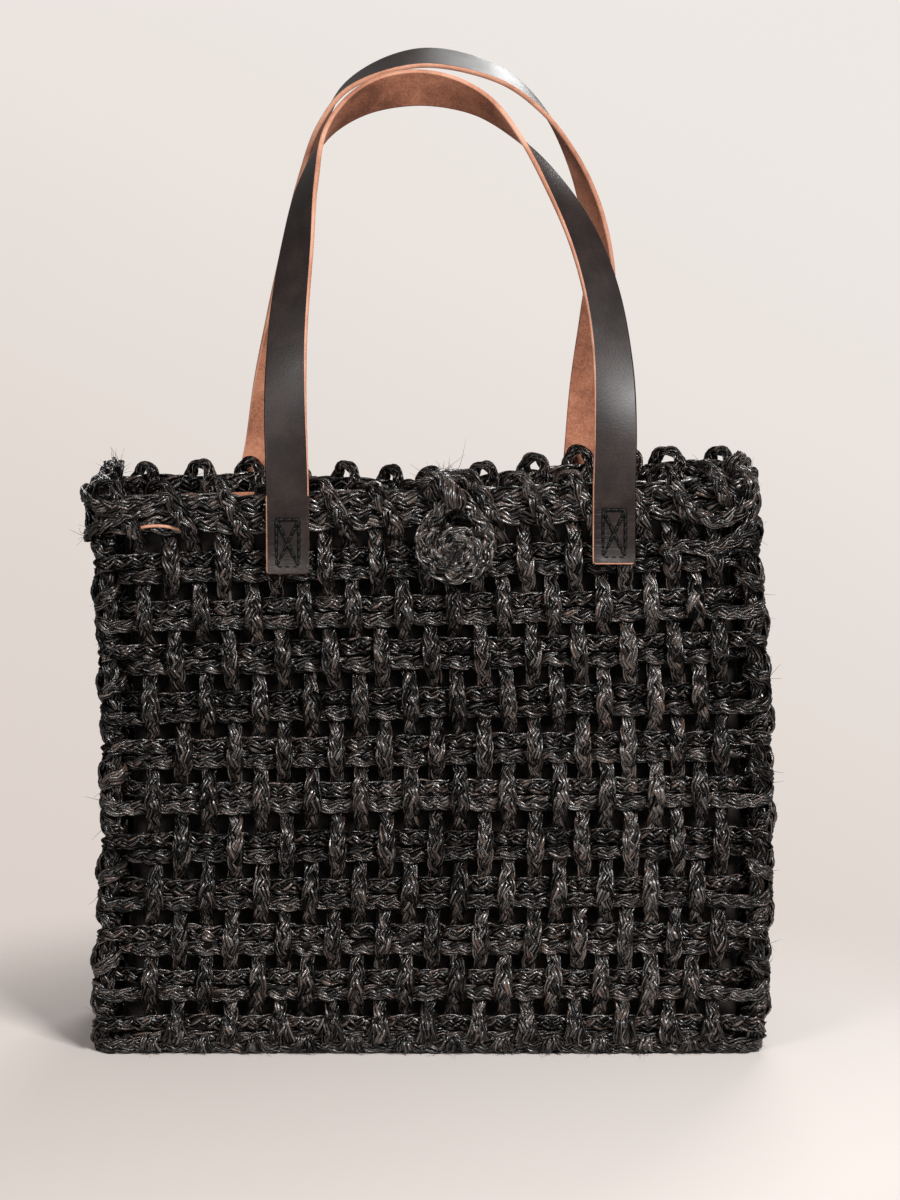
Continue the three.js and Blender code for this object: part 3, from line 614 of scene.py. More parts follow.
def plait(
    route, rng, width=8.9, thick=4.6, period=PERIOD, loop=False, detail=HIDDEN_DETAIL, light=0.5
):
    """Three strands of stems that follow a route of rows (x, y, z, width direction xyz, girth).

    Strand k lies at swing * (0.9 sin(turn) - 0.1 sin(3 turn)) across, which crosses straight and
    folds at the edges. It is narrower there, like the tip of a leaf. It lies at
    lift * (1.5 s - 0.5 s^3) out, with s = sin(2 turn), which stays flat on top for longer than s
    does. Turn grows by one full circle in a period, and strand k starts k thirds of a circle on.
    A stem's ring has one corner on top, so three sides are enough."""
    rows, along, whole = evenly(np.asarray(route, float), detail["step"], loop, BEND_LENGTH)
    middle = rows[:, :3]
    travel = headings(middle, loop)
    across = square_to(rows[:, 3:6], travel)
    outward = np.cross(travel, across)
    girth = rows[:, 6:7]
    if not loop:
        tip = np.minimum(along, whole - along)
        girth = girth * (0.3 + 0.7 * np.sqrt(smoothstep(tip, -0.5, 5)))[:, None]
    turns = max(1, round(whole / period)) if loop else whole / period
    start = rng.uniform(0, 2 * np.pi)
    half = (width * STRAND_SHARES[0], thick * STRAND_SHARES[1])
    around = 2 * np.pi * (0.25 + np.arange(detail["sides"])[None, :, None] / detail["sides"])
    count = detail["stems"]
    places = (2 * np.arange(count) + 1 - count) / count
    stem_half = (half[0] / count * STEM_OVERLAP, half[1] * STEM_THICKNESS)
    skins = []
    for k in range(3):
        turn = 2 * np.pi * (turns * along / whole + k / 3) + start
        leaf = LEAF_WIDEST - LEAF_NARROWING * np.sin(turn) ** 4
        edge = width / 2 - half[0] * (LEAF_WIDEST - LEAF_NARROWING)
        swing = edge * (1 + wander(along, whole, rng, 0.12, 46))
        swing = swing * (0.9 * np.sin(turn) - 0.1 * np.sin(3 * turn))
        wave = np.sin(2 * turn)
        lift = LIFT_SHARE * (thick / 2 - half[1]) * (1.5 * wave - 0.5 * wave**3)
        strand = middle + (across * swing[:, None] + outward * lift[:, None]) * girth
        heading = headings(strand, loop)
        wide = square_to(across, heading)
        deep = np.cross(heading, wide)
        strand_tone = rng.normal(light, STRAND_TONES) + wander(along, whole, rng, 0.14, 60)
        for place in places:
            aside = half[0] * leaf * (place + wander(along, whole, rng, 0.4 / count, 60))
            raised = half[1] * (STEM_ARCH * (1 - place**2) + wander(along, whole, rng, 0.17, 45))
            core = strand + (wide * aside[:, None] + deep * raised[:, None]) * girth
            swell = girth[:, 0] * rng.uniform(0.85, 1.15)
            swell = swell * (1 + wander(along, whole, rng, 0.08, 19))
            # Outer stems lean with the arch, so that the bundle keeps one rounded back
            slope = math.atan2(2 * STEM_ARCH * half[1] * place, half[0])
            flat_way = wide * math.cos(slope) - deep * math.sin(slope)
            thick_way = wide * math.sin(slope) + deep * math.cos(slope)
            ring = flat_way[:, None] * (stem_half[0] * leaf[:, None, None] * np.cos(around))
            ring = ring + thick_way[:, None] * (stem_half[1] * np.sin(around))
            rings = core[:, None] + ring * swell[:, None, None]
            tone = np.clip(strand_tone + rng.normal(0, STEM_TONES), 0, 1)
            skins.append(skin(rings, along + rng.uniform(0, FIBRE_STARTS), tone, loop))
    return skins


def route_of(points, widths, girths, loop=False, per_span=8):
    """The smooth route through points, with the width direction and the girth carried along."""
    girths = np.broadcast_to(np.asarray(girths, float).reshape(-1, 1), (len(points), 1))
    widths = np.broadcast_to(np.asarray(widths, float), (len(points), 3))
    return through(np.concatenate([points, widths, girths], 1), loop, per_span)


print("plait period", PERIOD, "mm")

# %% [markdown]
# Hand-plaited grass is hairy. Fine loose ends leave the cords everywhere, and a cut cord ends in a
# brush of stems. Both are thin tapered tubes: a loose end starts on a stem, near its direction,
# lifts off and bends, and a brush starts side by side and spreads.

# %% Loose ends and cut ends
HAIR_REACH = (3, 10)
HAIR_RADIUS = 0.19


def loose_ends(skins, rng, count, reach=HAIR_REACH):
    """Fibres off random points of the skins: start + reach * (t * onward + lift * t^1.4 * outward
    + t^2 * bend), for t from 0 to 1."""
    t = np.linspace(0, 1, 5)[:, None]
    made = []
    for _ in range(count):
        stem = skins[rng.integers(len(skins))]
        rings = stem["points"].reshape(-1, stem["sides"], 3)
        ring, side = rng.integers(len(rings) - 1), rng.integers(stem["sides"])
        start = rings[ring, side]
        onward = unit(rings[ring + 1, side] - start) * rng.choice((-1, 1))
        outward = unit(start - rings[ring].mean(0))
        shape = t * onward + rng.uniform(0.1, 0.9) * t**1.4 * outward + t**2 * rng.normal(0, 0.3, 3)
        line = start + rng.uniform(*reach) * shape
        made.append(thread(line, HAIR_RADIUS * (1 - 0.75 * t), tone=rng.uniform(0.2, 1)))
    return made


def brush(root, aim, across, rng, count, length, spread, radius, taper):
    """Stems from a root towards an aim, each moved across by its place, more so towards its tip."""
    aim, across = np.array(aim), np.array(across)
    t = np.linspace(0, 1, 5)[:, None]
    made = []
    for place in rng.uniform(-1, 1, count):
        start = root + 0.3 * spread * place * across + rng.normal(0, 0.5, 3)
        swing = 0.3 * spread * place * across + rng.normal(0, 0.17 * taper * length, 3)
        line = start + rng.uniform(0.75, 1.15) * length * aim * t + swing * t**1.6
        made.append(thread(line, radius * (1 - taper * t**2), 4, rng.uniform(0.1, 0.8)))
    return made


def grass_piece(name, skins, replaced, rng, hairs, body="bag"):
    """A piece of grass cords with its own loose ends."""
    hairy = skins + loose_ends(skins, rng, hairs)
    return make_piece(name, hairy, [GRASS], body, replaced)


print("loose ends ready")

# %% [markdown]
# Black grass isn't one black. Each stem is a few split fibres, some grey with a satin shine, some
# brown, with dark gaps between. Long thin noise drawn out along the stem gives the fibres, in
# colour and in height. It is sampled on a circle round the stem, so the pattern has no seam.

# %% Fibre streaks as a node group
# How many radians the fibres turn round the stem in a metre
FIBRE_TWIST = 40.0
# How far the noise runs across a stem's radius, and in a metre along it
FIBRES_ROUND = 1.15
FIBRES_ALONG = 26.0
# How far apart in the noise two stems lie whose tones differ by one, and how much lighter one is
TONE_STEP = 53.0
TONE_LIFT = 0.8
# The broad patches are the same noise drawn out, and this share of the streaks
PATCH_STRETCH = (0.5, 0.3, 0.3)
PATCH_SHARE = 0.28


def streak_group():
    """Inputs: the cord's UV and tone. Outputs: fibres from dark to light, a broad patch value, and
    a height for bump."""
    group = bpy.data.node_groups.new("grass streaks", "ShaderNodeTree")
    face = group.interface
    face.new_socket("Cord UV", in_out="INPUT", socket_type="NodeSocketVector")
    face.new_socket("Tone", in_out="INPUT", socket_type="NodeSocketFloat")
    for name in ("Streak", "Patch", "Height"):
        face.new_socket(name, in_out="OUTPUT", socket_type="NodeSocketFloat")
    given = node(group, "NodeGroupInput").outputs
    split = axes(group, given["Cord UV"])
    angle = maths(group, "MULTIPLY", split["Y"], 2 * math.pi)
    turned = plus(group, angle, split["X"], FIBRE_TWIST)
    x = maths(group, "MULTIPLY", maths(group, "COSINE", turned), FIBRES_ROUND)
    y = maths(group, "MULTIPLY", maths(group, "SINE", turned), FIBRES_ROUND)
    length = maths(group, "MULTIPLY", split["X"], FIBRES_ALONG)
    own = plus(group, y, given["Tone"], TONE_STEP)
    place = node(group, "ShaderNodeCombineXYZ", {0: length, 1: x, 2: own}).outputs[0]
    fine = noise(group, place, 1.0, 2.0, 0.65)
    stretched = {0: place, 1: PATCH_STRETCH}
    broad_place = node(group, "ShaderNodeVectorMath", stretched, operation="MULTIPLY").outputs[0]
    broad = noise(group, broad_place, 1.0, 1.0)
    both = plus(group, maths(group, "MULTIPLY", fine, 1 - PATCH_SHARE), broad, PATCH_SHARE)
    out = {"Streak": remap(group, both, 0.36, 0.64), "Patch": broad, "Height": fine}
    node(group, "NodeGroupOutput", out)
    return group


def mix_colours(tree, share, first, second):
    """A mix of two colours by a share. The node's colour sockets share their names with its number
    sockets, so they are found by identifier."""
    mix = node(tree, "ShaderNodeMix", {"Factor": share}, data_type="RGBA")
    for key, socket in (("A_Color", first), ("B_Color", second)):
        tree.links.new(socket, next(i for i in mix.inputs if i.identifier == key))
    return next(o for o in mix.outputs if o.identifier == "Result_Color")


STREAKS = streak_group()
GREY_STEMS = [
    (0.0, (0.001, 0.0008, 0.0007)),
    (0.4, (0.0034, 0.0027, 0.0023)),
    (0.66, (0.0095, 0.0076, 0.0066)),
    (0.86, (0.038, 0.032, 0.0285)),
    (1.0, (0.12, 0.104, 0.094)),
]
BROWN_STEMS = [
    (0.0, (0.0014, 0.0009, 0.0007)),
    (0.45, (0.007, 0.004, 0.003)),
    (0.8, (0.036, 0.021, 0.0155)),
    (1.0, (0.1, 0.062, 0.046)),
]


def grass_material(name):
    """Dark grass: fibres from near black through brown to grey, glossy, raised one by one. The
    dark gaps between fibres have little shine."""
    material, tree = new_material(name)
    tone = node(tree, "ShaderNodeAttribute", attribute_name="tone").outputs["Fac"]
    given = {"Cord UV": surface_uv(tree), "Tone": tone}
    streaks = node(tree, "ShaderNodeGroup", given, node_tree=STREAKS).outputs
    lift = maths(tree, "MULTIPLY", maths(tree, "SUBTRACT", tone, 0.5), TONE_LIFT)
    level = maths(tree, "ADD", streaks["Streak"], lift, clamp=True)
    redness = remap(tree, streaks["Patch"], 0.5, 0.62)
    grey = ramp(tree, level, GREY_STEMS)
    settings = {
        "Base Color": mix_colours(tree, redness, grey, ramp(tree, level, BROWN_STEMS)),
        "Roughness": remap(tree, level, 0.1, 0.9, 0.36, 0.25),
        "IOR": 1.55,
        "Specular IOR Level": remap(tree, level, 0.2, 0.85, 0.06, 1.0),
    }
    finish_surface(tree, settings, streaks["Height"], 1.0, 0.0004)
    return material


GRASS = grass_material("dark_grass")
print("grass material ready")

# %% [markdown]
# A course is really two plaits in one: a plait runs across the face, turns back round the corner
# cord and lies above itself. Each pass weaves over and under the upright cords, against them.
# A closed racetrack gives both passes and both turns as one unbroken cord.

# %% Courses
PASS_GAP = 4.2
COURSE_PLAIT_WIDTH = 8.3
COURSE_WAVE = 0.9
TURN_RADIUS = 5.6
CORNER_INSET = 2.6
TURN_GIRTH = 0.92
SIDE_STAGGER = 11.25
RUN_POINT_STEP = 13
COURSE_HAIRS = 70
# The turn of a racetrack: height shares from one pass to the other, and degrees round the corner
TURN_SHARES = (-1, -0.55, 0, 0.55, 1)
TURN_DEGREES = (90, 45, 0, -45, -90)


def racetrack(face, k, z, rng, first_column):
    """One course of a face: the lower pass goes right, turns round the corner cord, comes back as
    the upper pass and turns again. At each upright cord the pass gives way by the course wave."""
    places = column_places(face)
    end = (half_width(z) if face in LONG_FACES else HALF_DEPTH) - CORNER_INSET
    outside = np.where((np.arange(len(places)) + first_column + k) % 2 == 0, 1, -1)
    turn = np.radians(TURN_DEGREES) * (1 if k % 2 else -1)
    rows = []
    for way in (1, -1):
        for u, sign in zip(places[::way], outside[::way]):
            rows.append((u, z - way * PASS_GAP, -COURSE_WAVE * sign, 1))
        for share, angle in zip(TURN_SHARES, turn * way):
            u = way * (end + TURN_RADIUS * np.cos(angle))
            w = TURN_RADIUS * np.sin(angle) - CORNER_INSET
            rows.append((u, z + way * PASS_GAP * share, w, TURN_GIRTH))
    u, z_at, w, girth = np.array(rows).T
    z_at = z_at + rng.normal(0, 0.4, len(z_at))
    w = w + rng.normal(0, 0.15, len(w))
    girth = girth * rng.uniform(0.93, 1.07, len(girth))
    points = settle(on_face(face, u, z_at, w))
    return route_of(points, (0, 0, 1), girth, loop=True)


def hoop(z, offset, rng, shake):
    """A closed ring of points round the whole bag at one height: four quarter arcs about the corner
    centres, and even points along the straight run after each."""
    half = half_width(z) - CORNER_RADIUS
    depth = HALF_DEPTH - CORNER_RADIUS
    radius = CORNER_RADIUS + offset
    centres = [(half, -depth), (half, depth), (-half, depth), (-half, -depth)]
    points = []
    for number, centre in enumerate(centres):
        angles = np.radians(np.array([0, 30, 60, 90]) + 90 * (number - 1))
        arc = np.array(centre) + radius * np.stack([np.cos(angles), np.sin(angles)], 1)
        run = 2 * (half if number % 2 else depth)
        shares = np.linspace(0, 1, max(3, round(run / RUN_POINT_STEP)))[1:-1, None]
        heading = np.array([-np.sin(angles[-1]), np.cos(angles[-1])])
        points += [arc, arc[-1] + heading * run * shares]
    flat = np.concatenate(points)
    return np.column_stack([flat, z + rng.normal(0, shake, len(flat))])


rng = np.random.default_rng(11)
course_skins = []
for k in range(COURSES):
    skins = []
    for face in LONG_FACES + SHORT_FACES:
        z = course_z(k) + (SIDE_STAGGER if face in SHORT_FACES else 0)
        track = racetrack(face, k, z, rng, 1 if face in LONG_FACES else 0)
        detail = FRONT_DETAIL if face == "front" else HIDDEN_DETAIL
        skins += plait(track, rng, COURSE_PLAIT_WIDTH, loop=True, detail=detail)
    course_skins.append(skins)
print("courses", COURSES)

# %% [markdown]
# A single plait lies along the foot of the bag, outside some cords and inside others, and covers
# the folds where the upright cords turn under the base.

# %% The foot plait
FOOT_Z = 4.6
FOOT_OFFSET = 1.0
FOOT_SHAKE = 0.3
FOOT_GIRTH = 0.95

foot_points = settle(hoop(FOOT_Z, FOOT_OFFSET, rng, FOOT_SHAKE))
foot_route = route_of(foot_points, (0, 0, 1), FOOT_GIRTH, loop=True)
course_skins[0] += plait(foot_route, rng, loop=True, detail=FRONT_DETAIL)
for k, skins in enumerate(course_skins):
    number = f"{k + 1:02d}"
    grass_piece("plaited_course_" + number, skins, ["course_" + number], rng, COURSE_HAIRS)
print("foot plait at", FOOT_Z, "mm")

# %% [markdown]
# The rim is a thicker course, two heavy plaits one above the other, that closes on itself round
# all four sides. The upright cords loop over it.

# %% The rim
RIM_PASS_GAP = 4.7
RIM_PLAIT_WIDTH = 11.6
RIM_PLAIT_THICK = 5.8
RIM_PERIOD = 34
RIM_SHAKE = 0.6
RIM_HAIRS = 160

rng = np.random.default_rng(23)
rim_skins = []
for level in (-1, 1):
    rim_points = settle(hoop(RIM_Z + level * RIM_PASS_GAP, 0, rng, RIM_SHAKE))
    rim_girth = rng.uniform(0.92, 1.08, len(rim_points))
    rim_route = route_of(rim_points, (0, 0, 1), rim_girth, loop=True)
    rim_skins += plait(
        rim_route, rng, RIM_PLAIT_WIDTH, RIM_PLAIT_THICK, RIM_PERIOD, loop=True, detail=FRONT_DETAIL
    )
print("rim skins", len(rim_skins))

# %% [markdown]
# Where the rim plaits were joined, their ends were tied round the front corners, and one was left
# standing as a cut brush at the back. Each tie is a short plait laid over the rim, through points
# given as across, height and out from the wall.

# %% Ties at the rim's corners
TIE_PLAIT_WIDTH = 7.8
TIE_PLAIT_THICK = 4.6
TIE_PERIOD = 24
RIGHT_TIES = (
    [
        (122, 299, 3, 0.7), (128, 294, 6.5, 1), (136, 286.5, 8, 1), (144.5, 282.8, 8.6, 1.05),
        (153, 285, 8.6, 1), (160, 291.5, 8, 1), (163, 299.5, 6, 1), (161, 306.5, 0, 0.85),
        (157, 309, -8, 0.6),
    ],
    [
        (116, 266, 1, 0.7), (122, 268.5, 5, 0.9), (131, 270, 6.5, 1.05), (141, 268.5, 7, 1),
        (150, 270.5, 7, 1), (157.5, 275.5, 6.5, 1), (163.5, 283, 4, 0.95), (166, 291, 0, 0.7),
    ],
    [
        (136, 309, -6, 0.6), (140, 310.5, 1, 0.9), (145, 305.5, 5.5, 1), (148, 298, 6.5, 1),
        (150.5, 290, 5, 0.8),
    ],
)
LEFT_TIES = (
    [
        (-130, 296, 2, 0.7), (-139, 294.5, 6, 0.9), (-152, 292, 8, 1), (-164, 290, 8, 1),
        (-176, 292, 4, 1), (-181, 295, -8, 1), (-181, 297, -28, 0.8),
    ],
    [
        (-136, 291, 1, 0.7), (-146, 289, 5.5, 0.9), (-157, 286.5, 7.5, 1), (-168, 282, 7, 1),
        (-177, 276.5, 1, 1), (-180, 273, -12, 0.9), (-178, 272, -26, 0.7),
    ],
)
# Where the cut brush stands, and its two bundles: aim, width direction, stems, length and spread
BRUSH_ROOT = (-168.0, 51.0, 297.0)
BRUSH_BUNDLES = (
    ((-0.05, 0, 1), (1, 0.2, 0), 40, 10.5, 9),
    ((0.1, 0, 1), (0.3, 1, 0), 24, 9.5, 7),
)
BRUSH_STEM = 1.0
BRUSH_TAPER = 0.1

for places in RIGHT_TIES + LEFT_TIES:
    u, z, w, girth = np.array(places, float).T
    tie_points = np.stack([u, -(HALF_DEPTH + w), z], 1)
    round_corner = smoothstep(np.abs(u), 150, 182)
    tie_out = unit(np.stack([np.sign(u) * round_corner, round_corner - 1, 0 * u], 1))
    tie_route = route_of(tie_points, np.cross(tie_out, headings(tie_points)), girth)
    rim_skins += plait(
        tie_route, rng, TIE_PLAIT_WIDTH, TIE_PLAIT_THICK, TIE_PERIOD, detail=FRONT_DETAIL
    )
root = settle(BRUSH_ROOT)
for aim, across, count, length, spread in BRUSH_BUNDLES:
    rim_skins += brush(root, aim, across, rng, count, length, spread, BRUSH_STEM, BRUSH_TAPER)
grass_piece("plaited_rim", rim_skins, ["rim_course"], rng, RIM_HAIRS)
print("ties", len(RIGHT_TIES + LEFT_TIES))

# %% [markdown]
# The upright cords work in pairs. A pair is one cord: it comes up inside the rim, makes a small
# loop over it and goes down outside, and on the way it passes each course on the other side from
# its neighbour. At the foot it turns under the base, and its cut ends spread over the foot plait.
# Over the rim the cord bends on its edge like an arch, rolled a little, so its flat side still
# shows from the front.

# %% Upright cords
CORD_WAVE = 4.35
RIM_WAVE = 5.2
CROSS_HALF = 4.0
LOOP_RISE = 6.2
LOOP_HALF_SPAN = 5.0
LOOP_ROLL = 55
BETWEEN_GIRTH = 0.86
CROSSING_GIRTH = 1.06
CORNER_GIRTH = 0.95
BASE_RUN_Z = {"front": 6.8, "back": 6.8, "right": 2.6, "left": 2.6}
LEAN = {"front": 8.5, "back": 5.5, "right": 3.5, "left": 3.5}
CORD_HAIRS = 34
# A corner cord's run under the base, as a share of its place across, and how far its column
# lies in or out at the rim
CORNER_RUN_SHARE = 0.945
CORNER_LOOP_IN = 3.3
CORNER_LOOP_OUT = 1.5
# Height, distance out and length of the cut end at a pair's inner and outer column
CUT_ENDS = ((19.5, 4.8, 10.5), (8.0, 3.6, 5.6))
CUT_END_STEMS = 11
CUT_END_SPREAD = 12
CUT_END_SPLAY = 0.16
CUT_STEM = 0.95
CUT_TAPER = 0.3


def column_of(face, index):
    """The place across and the resting depth of a column: 0 and the last are on the corners."""
    if face in SHORT_FACES:
        return column_places(face)[index], 0.0
    if 0 < index < FRONT_CORDS - 1:
        return column_places(face)[index - 1], 0.0
    sign = -1 if index == 0 else 1
    return sign * (BASE_HALF_WIDTH - CORNER_INSET), -CORNER_INSET


def leg_rows(face, index, rng):
    """Rows (u, z, w, girth) of one column from under the base up to the rim's lower edge."""
    u, rest = column_of(face, index)
    corner = rest != 0
    reach = HALF_DEPTH if face in LONG_FACES else BASE_HALF_WIDTH
    run = BASE_RUN_Z[face]
    run_u = u * CORNER_RUN_SHARE if corner else u
    rows = [(run_u, run, -reach + 0.5, 0.9), (run_u, run, -reach / 2, 1), (run_u, run, -12, 1)]
    if index % 2 == 1 and not corner:
        rows += [(u, 3.2, -3, 1), (u, 4.4, 3.4, 1), (u, 8.2, 1.8, 1)]
    else:
        rows += [(u, 7.5, -6.0, 1)]
    for k in range(COURSES):
        z = course_z(k) + (SIDE_STAGGER if face in SHORT_FACES else 0)
        # A corner cord keeps to the corner, which moves in as the bag narrows
        narrow = np.sign(u) * (BASE_HALF_WIDTH - half_width(z)) if corner else 0
        sign = 1 if (index + k) % 2 == 0 else -1
        wave = rest if corner else CORD_WAVE * sign
        girth = CORNER_GIRTH if corner else CROSSING_GIRTH * rng.uniform(0.94, 1.06)
        place = u - narrow + rng.normal(0, 0.5)
        for part in (-1, 1):
            rows.append((place, z + part * CROSS_HALF + rng.normal(0, 0.3), wave, girth))
        if k < COURSES - 1 and not corner:
            rows.append((place, z + COURSE_PITCH / 2, 0, BETWEEN_GIRTH))
    return rows


def upright_route(face, pair, rng):
    """The whole cord of a pair: up the inner column, over the rim, down the outer column.

    The fifth column of a row is the turn of the width direction, in degrees: 0 on the way up,
    90 where the arch is highest and 180 on the way down."""
    inner, outer = 2 * pair, 2 * pair + 1
    top = RIM_TOP_Z + LOOP_RISE + rng.normal(0, 1.5)
    span = LOOP_HALF_SPAN + rng.normal(0, 0.5)
    up = leg_rows(face, inner, rng)
    down = leg_rows(face, outer, rng)
    u_in, rest_in = column_of(face, inner)
    u_out, rest_out = column_of(face, outer)
    if rest_in:
        u_in += BASE_HALF_WIDTH - RIM_HALF_WIDTH + CORNER_LOOP_IN
    if rest_out:
        u_out += RIM_HALF_WIDTH - BASE_HALF_WIDTH + CORNER_LOOP_OUT
    w_in = -RIM_WAVE + 0.5 * rest_in
    w_out = RIM_WAVE + 1.4 * rest_out
    peak = (u_in + u_out) / 2 - LEAN[face] + rng.normal(0, 1.3)
    over = [
        (u_in, RIM_Z - 8, w_in, 0.95, 0),
        (0.5 * u_in + 0.5 * (peak - span), RIM_Z + 4, w_in, 0.9, 5),
        (peak - span, RIM_TOP_Z + 1.5, w_in * 0.75, 0.8, 35),
        (peak - span * 0.3, top, -0.6, 0.78, 75),
        (peak + span * 0.7, top - 0.8, 1.6, 0.82, 120),
        (peak + span * 1.15, RIM_TOP_Z + 1.0, w_out * 0.85, 0.95, 155),
        (0.35 * u_out + 0.65 * (peak + span), RIM_Z + 4, w_out, 1, 172),
        (0.8 * u_out + 0.2 * (peak + span), RIM_Z - 8, w_out, 1, 180),
    ]
    rows = [(*row, 0) for row in up] + over + [(*row, 180) for row in down[::-1]]
    u, z, w, girth, turn = np.array(rows).T
    points = settle(on_face(face, u, z, w))
    turn = np.radians(turn)[:, None]
    arch = np.sin(turn) * (0, 0, 1) - np.cos(turn) * ACROSS[face]
    roll = np.radians(LOOP_ROLL) * np.sin(turn)
    return route_of(points, np.cos(roll) * arch + np.sin(roll) * OUT[face], girth)


def cut_feet(face, pair, rng):
    """The spread ends of a pair's two columns: a long one over the first course, and a short one
    on the foot plait."""
    made = []
    aim = unit(np.array([0, 0, -1]) + CUT_END_SPLAY * np.array(OUT[face]))
    for number, (height, out, length) in enumerate(CUT_ENDS):
        u, rest = column_of(face, 2 * pair + number)
        if rest == 0:
            root = settle(on_face(face, u, height, out))
            size = (CUT_END_STEMS, length, CUT_END_SPREAD, CUT_STEM, CUT_TAPER)
            made += brush(root, aim, ACROSS[face], rng, *size)
    return made


rng = np.random.default_rng(37)
for pair in range(FRONT_CORDS // 2):
    skins = plait(upright_route("front", pair, rng), rng, detail=FRONT_DETAIL)
    skins += plait(upright_route("back", pair, rng), rng)
    skins += cut_feet("front", pair, rng)
    skins += cut_feet("back", pair, rng)
    number = f"{pair + 1:02d}"
    grass_piece("plaited_cord_" + number, skins, ["upright_pair_" + number], rng, CORD_HAIRS)
for pair in range(SIDE_CORDS // 2):
    skins = plait(upright_route("right", pair, rng), rng)
    skins += plait(upright_route("left", pair, rng), rng)
    number = str(pair + 1)
    nodes = ["side_upright_pair_" + number]
    grass_piece("plaited_side_cord_" + number, skins, nodes, rng, CORD_HAIRS)
print("upright cords placed")

# %% [markdown]
# Leather shows two sides here: the dyed grain outside, smooth with a broad satin shine, and the
# bare flesh side, tan and fibrous, which also shows at every cut edge. Fine noise gives the grain
# and the nap. Both read object coordinates, so a pattern stays on its strap.

# %% Leather, thread and cloth
GRAIN_STOPS = [
    (0.0, (0.0095, 0.0053, 0.0044)),
    (0.6, (0.0155, 0.009, 0.0074)),
    (1.0, (0.026, 0.0155, 0.0125)),
]
# A painted sheen: a lighter colour mixed into the grain at the straps' tab ends, as if they caught
# the light
PAINTED_SHEEN_STOPS = [(0.3, (0.05, 0.044, 0.04)), (0.7, (0.1, 0.089, 0.082))]
# How much of the painted sheen's lighter colour shows at a strap's tab ends
PAINTED_SHEEN_SHARE = 0.28
TAN_STOPS = [
    (0.0, (0.14, 0.045, 0.021)),
    (0.5, (0.33, 0.122, 0.066)),
    (1.0, (0.5, 0.215, 0.125)),
]
EDGE_STOPS = [
    (0.0, (0.30, 0.115, 0.065)),
    (0.5, (0.52, 0.235, 0.145)),
    (1.0, (0.66, 0.36, 0.25)),
]
# Nap marks per metre on the flesh side, and on the closer fibres of a cut edge
FLESH_SCALE = 700.0
EDGE_SCALE = 1500.0
CLOTH_STOPS = [(0.0, (0.005, 0.003, 0.0023)), (1.0, (0.02, 0.0128, 0.0098))]
# The twill's rib and the thread's ply, in metres, and the metres a rib rises in a turn
RIB_LENGTH = 0.0016
RIB_RISE = 0.76
PLY_LENGTH = 0.0012
THREAD_STOPS = [(0.0, (0.001, 0.0009, 0.0009)), (1.0, (0.0035, 0.003, 0.003))]


def noise_at(tree, scale, detail=3.0, stretch=(1, 1, 1), roughness=0.55):
    """Noise on the piece's own coordinates, stretched along an axis if asked."""
    place = node(tree, "ShaderNodeTexCoord").outputs["Object"]
    drawn_out = node(tree, "ShaderNodeMapping", {"Vector": place, "Scale": stretch})
    return noise(tree, drawn_out.outputs[0], scale, detail, roughness)


def grain_leather(name):
    """Dark brown dyed leather: faint pores under a satin finish, creased across at the tabs, with a
    painted sheen, a lighter colour mixed in at the tab ends.
    """
    material, tree = new_material(name)
    blotch = noise_at(tree, 60.0)
    pores = noise_at(tree, 900.0, 2.0)
    place = node(tree, "ShaderNodeTexCoord").outputs["Object"]
    at_tab = remap(tree, axes(tree, place)["Z"], 0.3, 0.285)
    creases = remap(tree, noise_at(tree, 330.0, 3.0, (0.22, 0.22, 1.6)), 0.5, 0.66)
    pressed = maths(tree, "MULTIPLY", maths(tree, "MULTIPLY", creases, at_tab), 1.6)
    level = plus(tree, blotch, pores, 0.5)
    grain_colour = ramp(tree, remap(tree, level, 0.45, 1.05), GRAIN_STOPS)
    tone = node(tree, "ShaderNodeAttribute", attribute_name="tone").outputs["Fac"]
    # Painted sheen: the tone rises to 1 at the tab ends, and the lighter colour is mixed in there
    painted_sheen = remap(tree, tone, 0.5, 1.0, 0.0, PAINTED_SHEEN_SHARE)
    settings = {
        "Base Color": mix_colours(tree, painted_sheen, grain_colour, ramp(tree, pores, PAINTED_SHEEN_STOPS)),
        "Roughness": remap(tree, blotch, 0.3, 0.7, 0.38, 0.45),
        "Specular IOR Level": 0.36,
    }
    finish_surface(tree, settings, maths(tree, "SUBTRACT", pores, pressed), 0.3, 0.00018)
    return material


def flesh_leather(name, stops, scale):
    """The undyed side: a soft fibrous nap from rust to tan, quite matt."""
    material, tree = new_material(name)
    nap = noise_at(tree, scale, 4.0, roughness=0.7)
    cloud = noise_at(tree, 45.0, 3.0)
    level = plus(tree, maths(tree, "MULTIPLY", nap, 0.4), cloud, 0.6)
    colour = ramp(tree, remap(tree, level, 0.3, 0.7), stops)
    finish_surface(tree, {"Base Color": colour, "Roughness": 0.85}, nap, 0.5, 0.0004)
    return material


def twill_cloth(name):
    """Brown twill: fine diagonal ribs across the cloth, with soft wear."""
    material, tree = new_material(name)
    split = axes(tree, surface_uv(tree))
    slanted = plus(tree, split["X"], split["Y"], RIB_RISE)
    rib = maths(tree, "SINE", maths(tree, "MULTIPLY", slanted, 2 * math.pi / RIB_LENGTH))
    level = plus(tree, noise_at(tree, 30.0), rib, 0.16)
    colour = ramp(tree, remap(tree, level, 0.25, 0.75), CLOTH_STOPS)
    settings = {"Base Color": colour, "Roughness": 0.9, "Sheen Weight": 0.04}
    finish_surface(tree, settings, rib, 0.4, 0.0002)
    return material


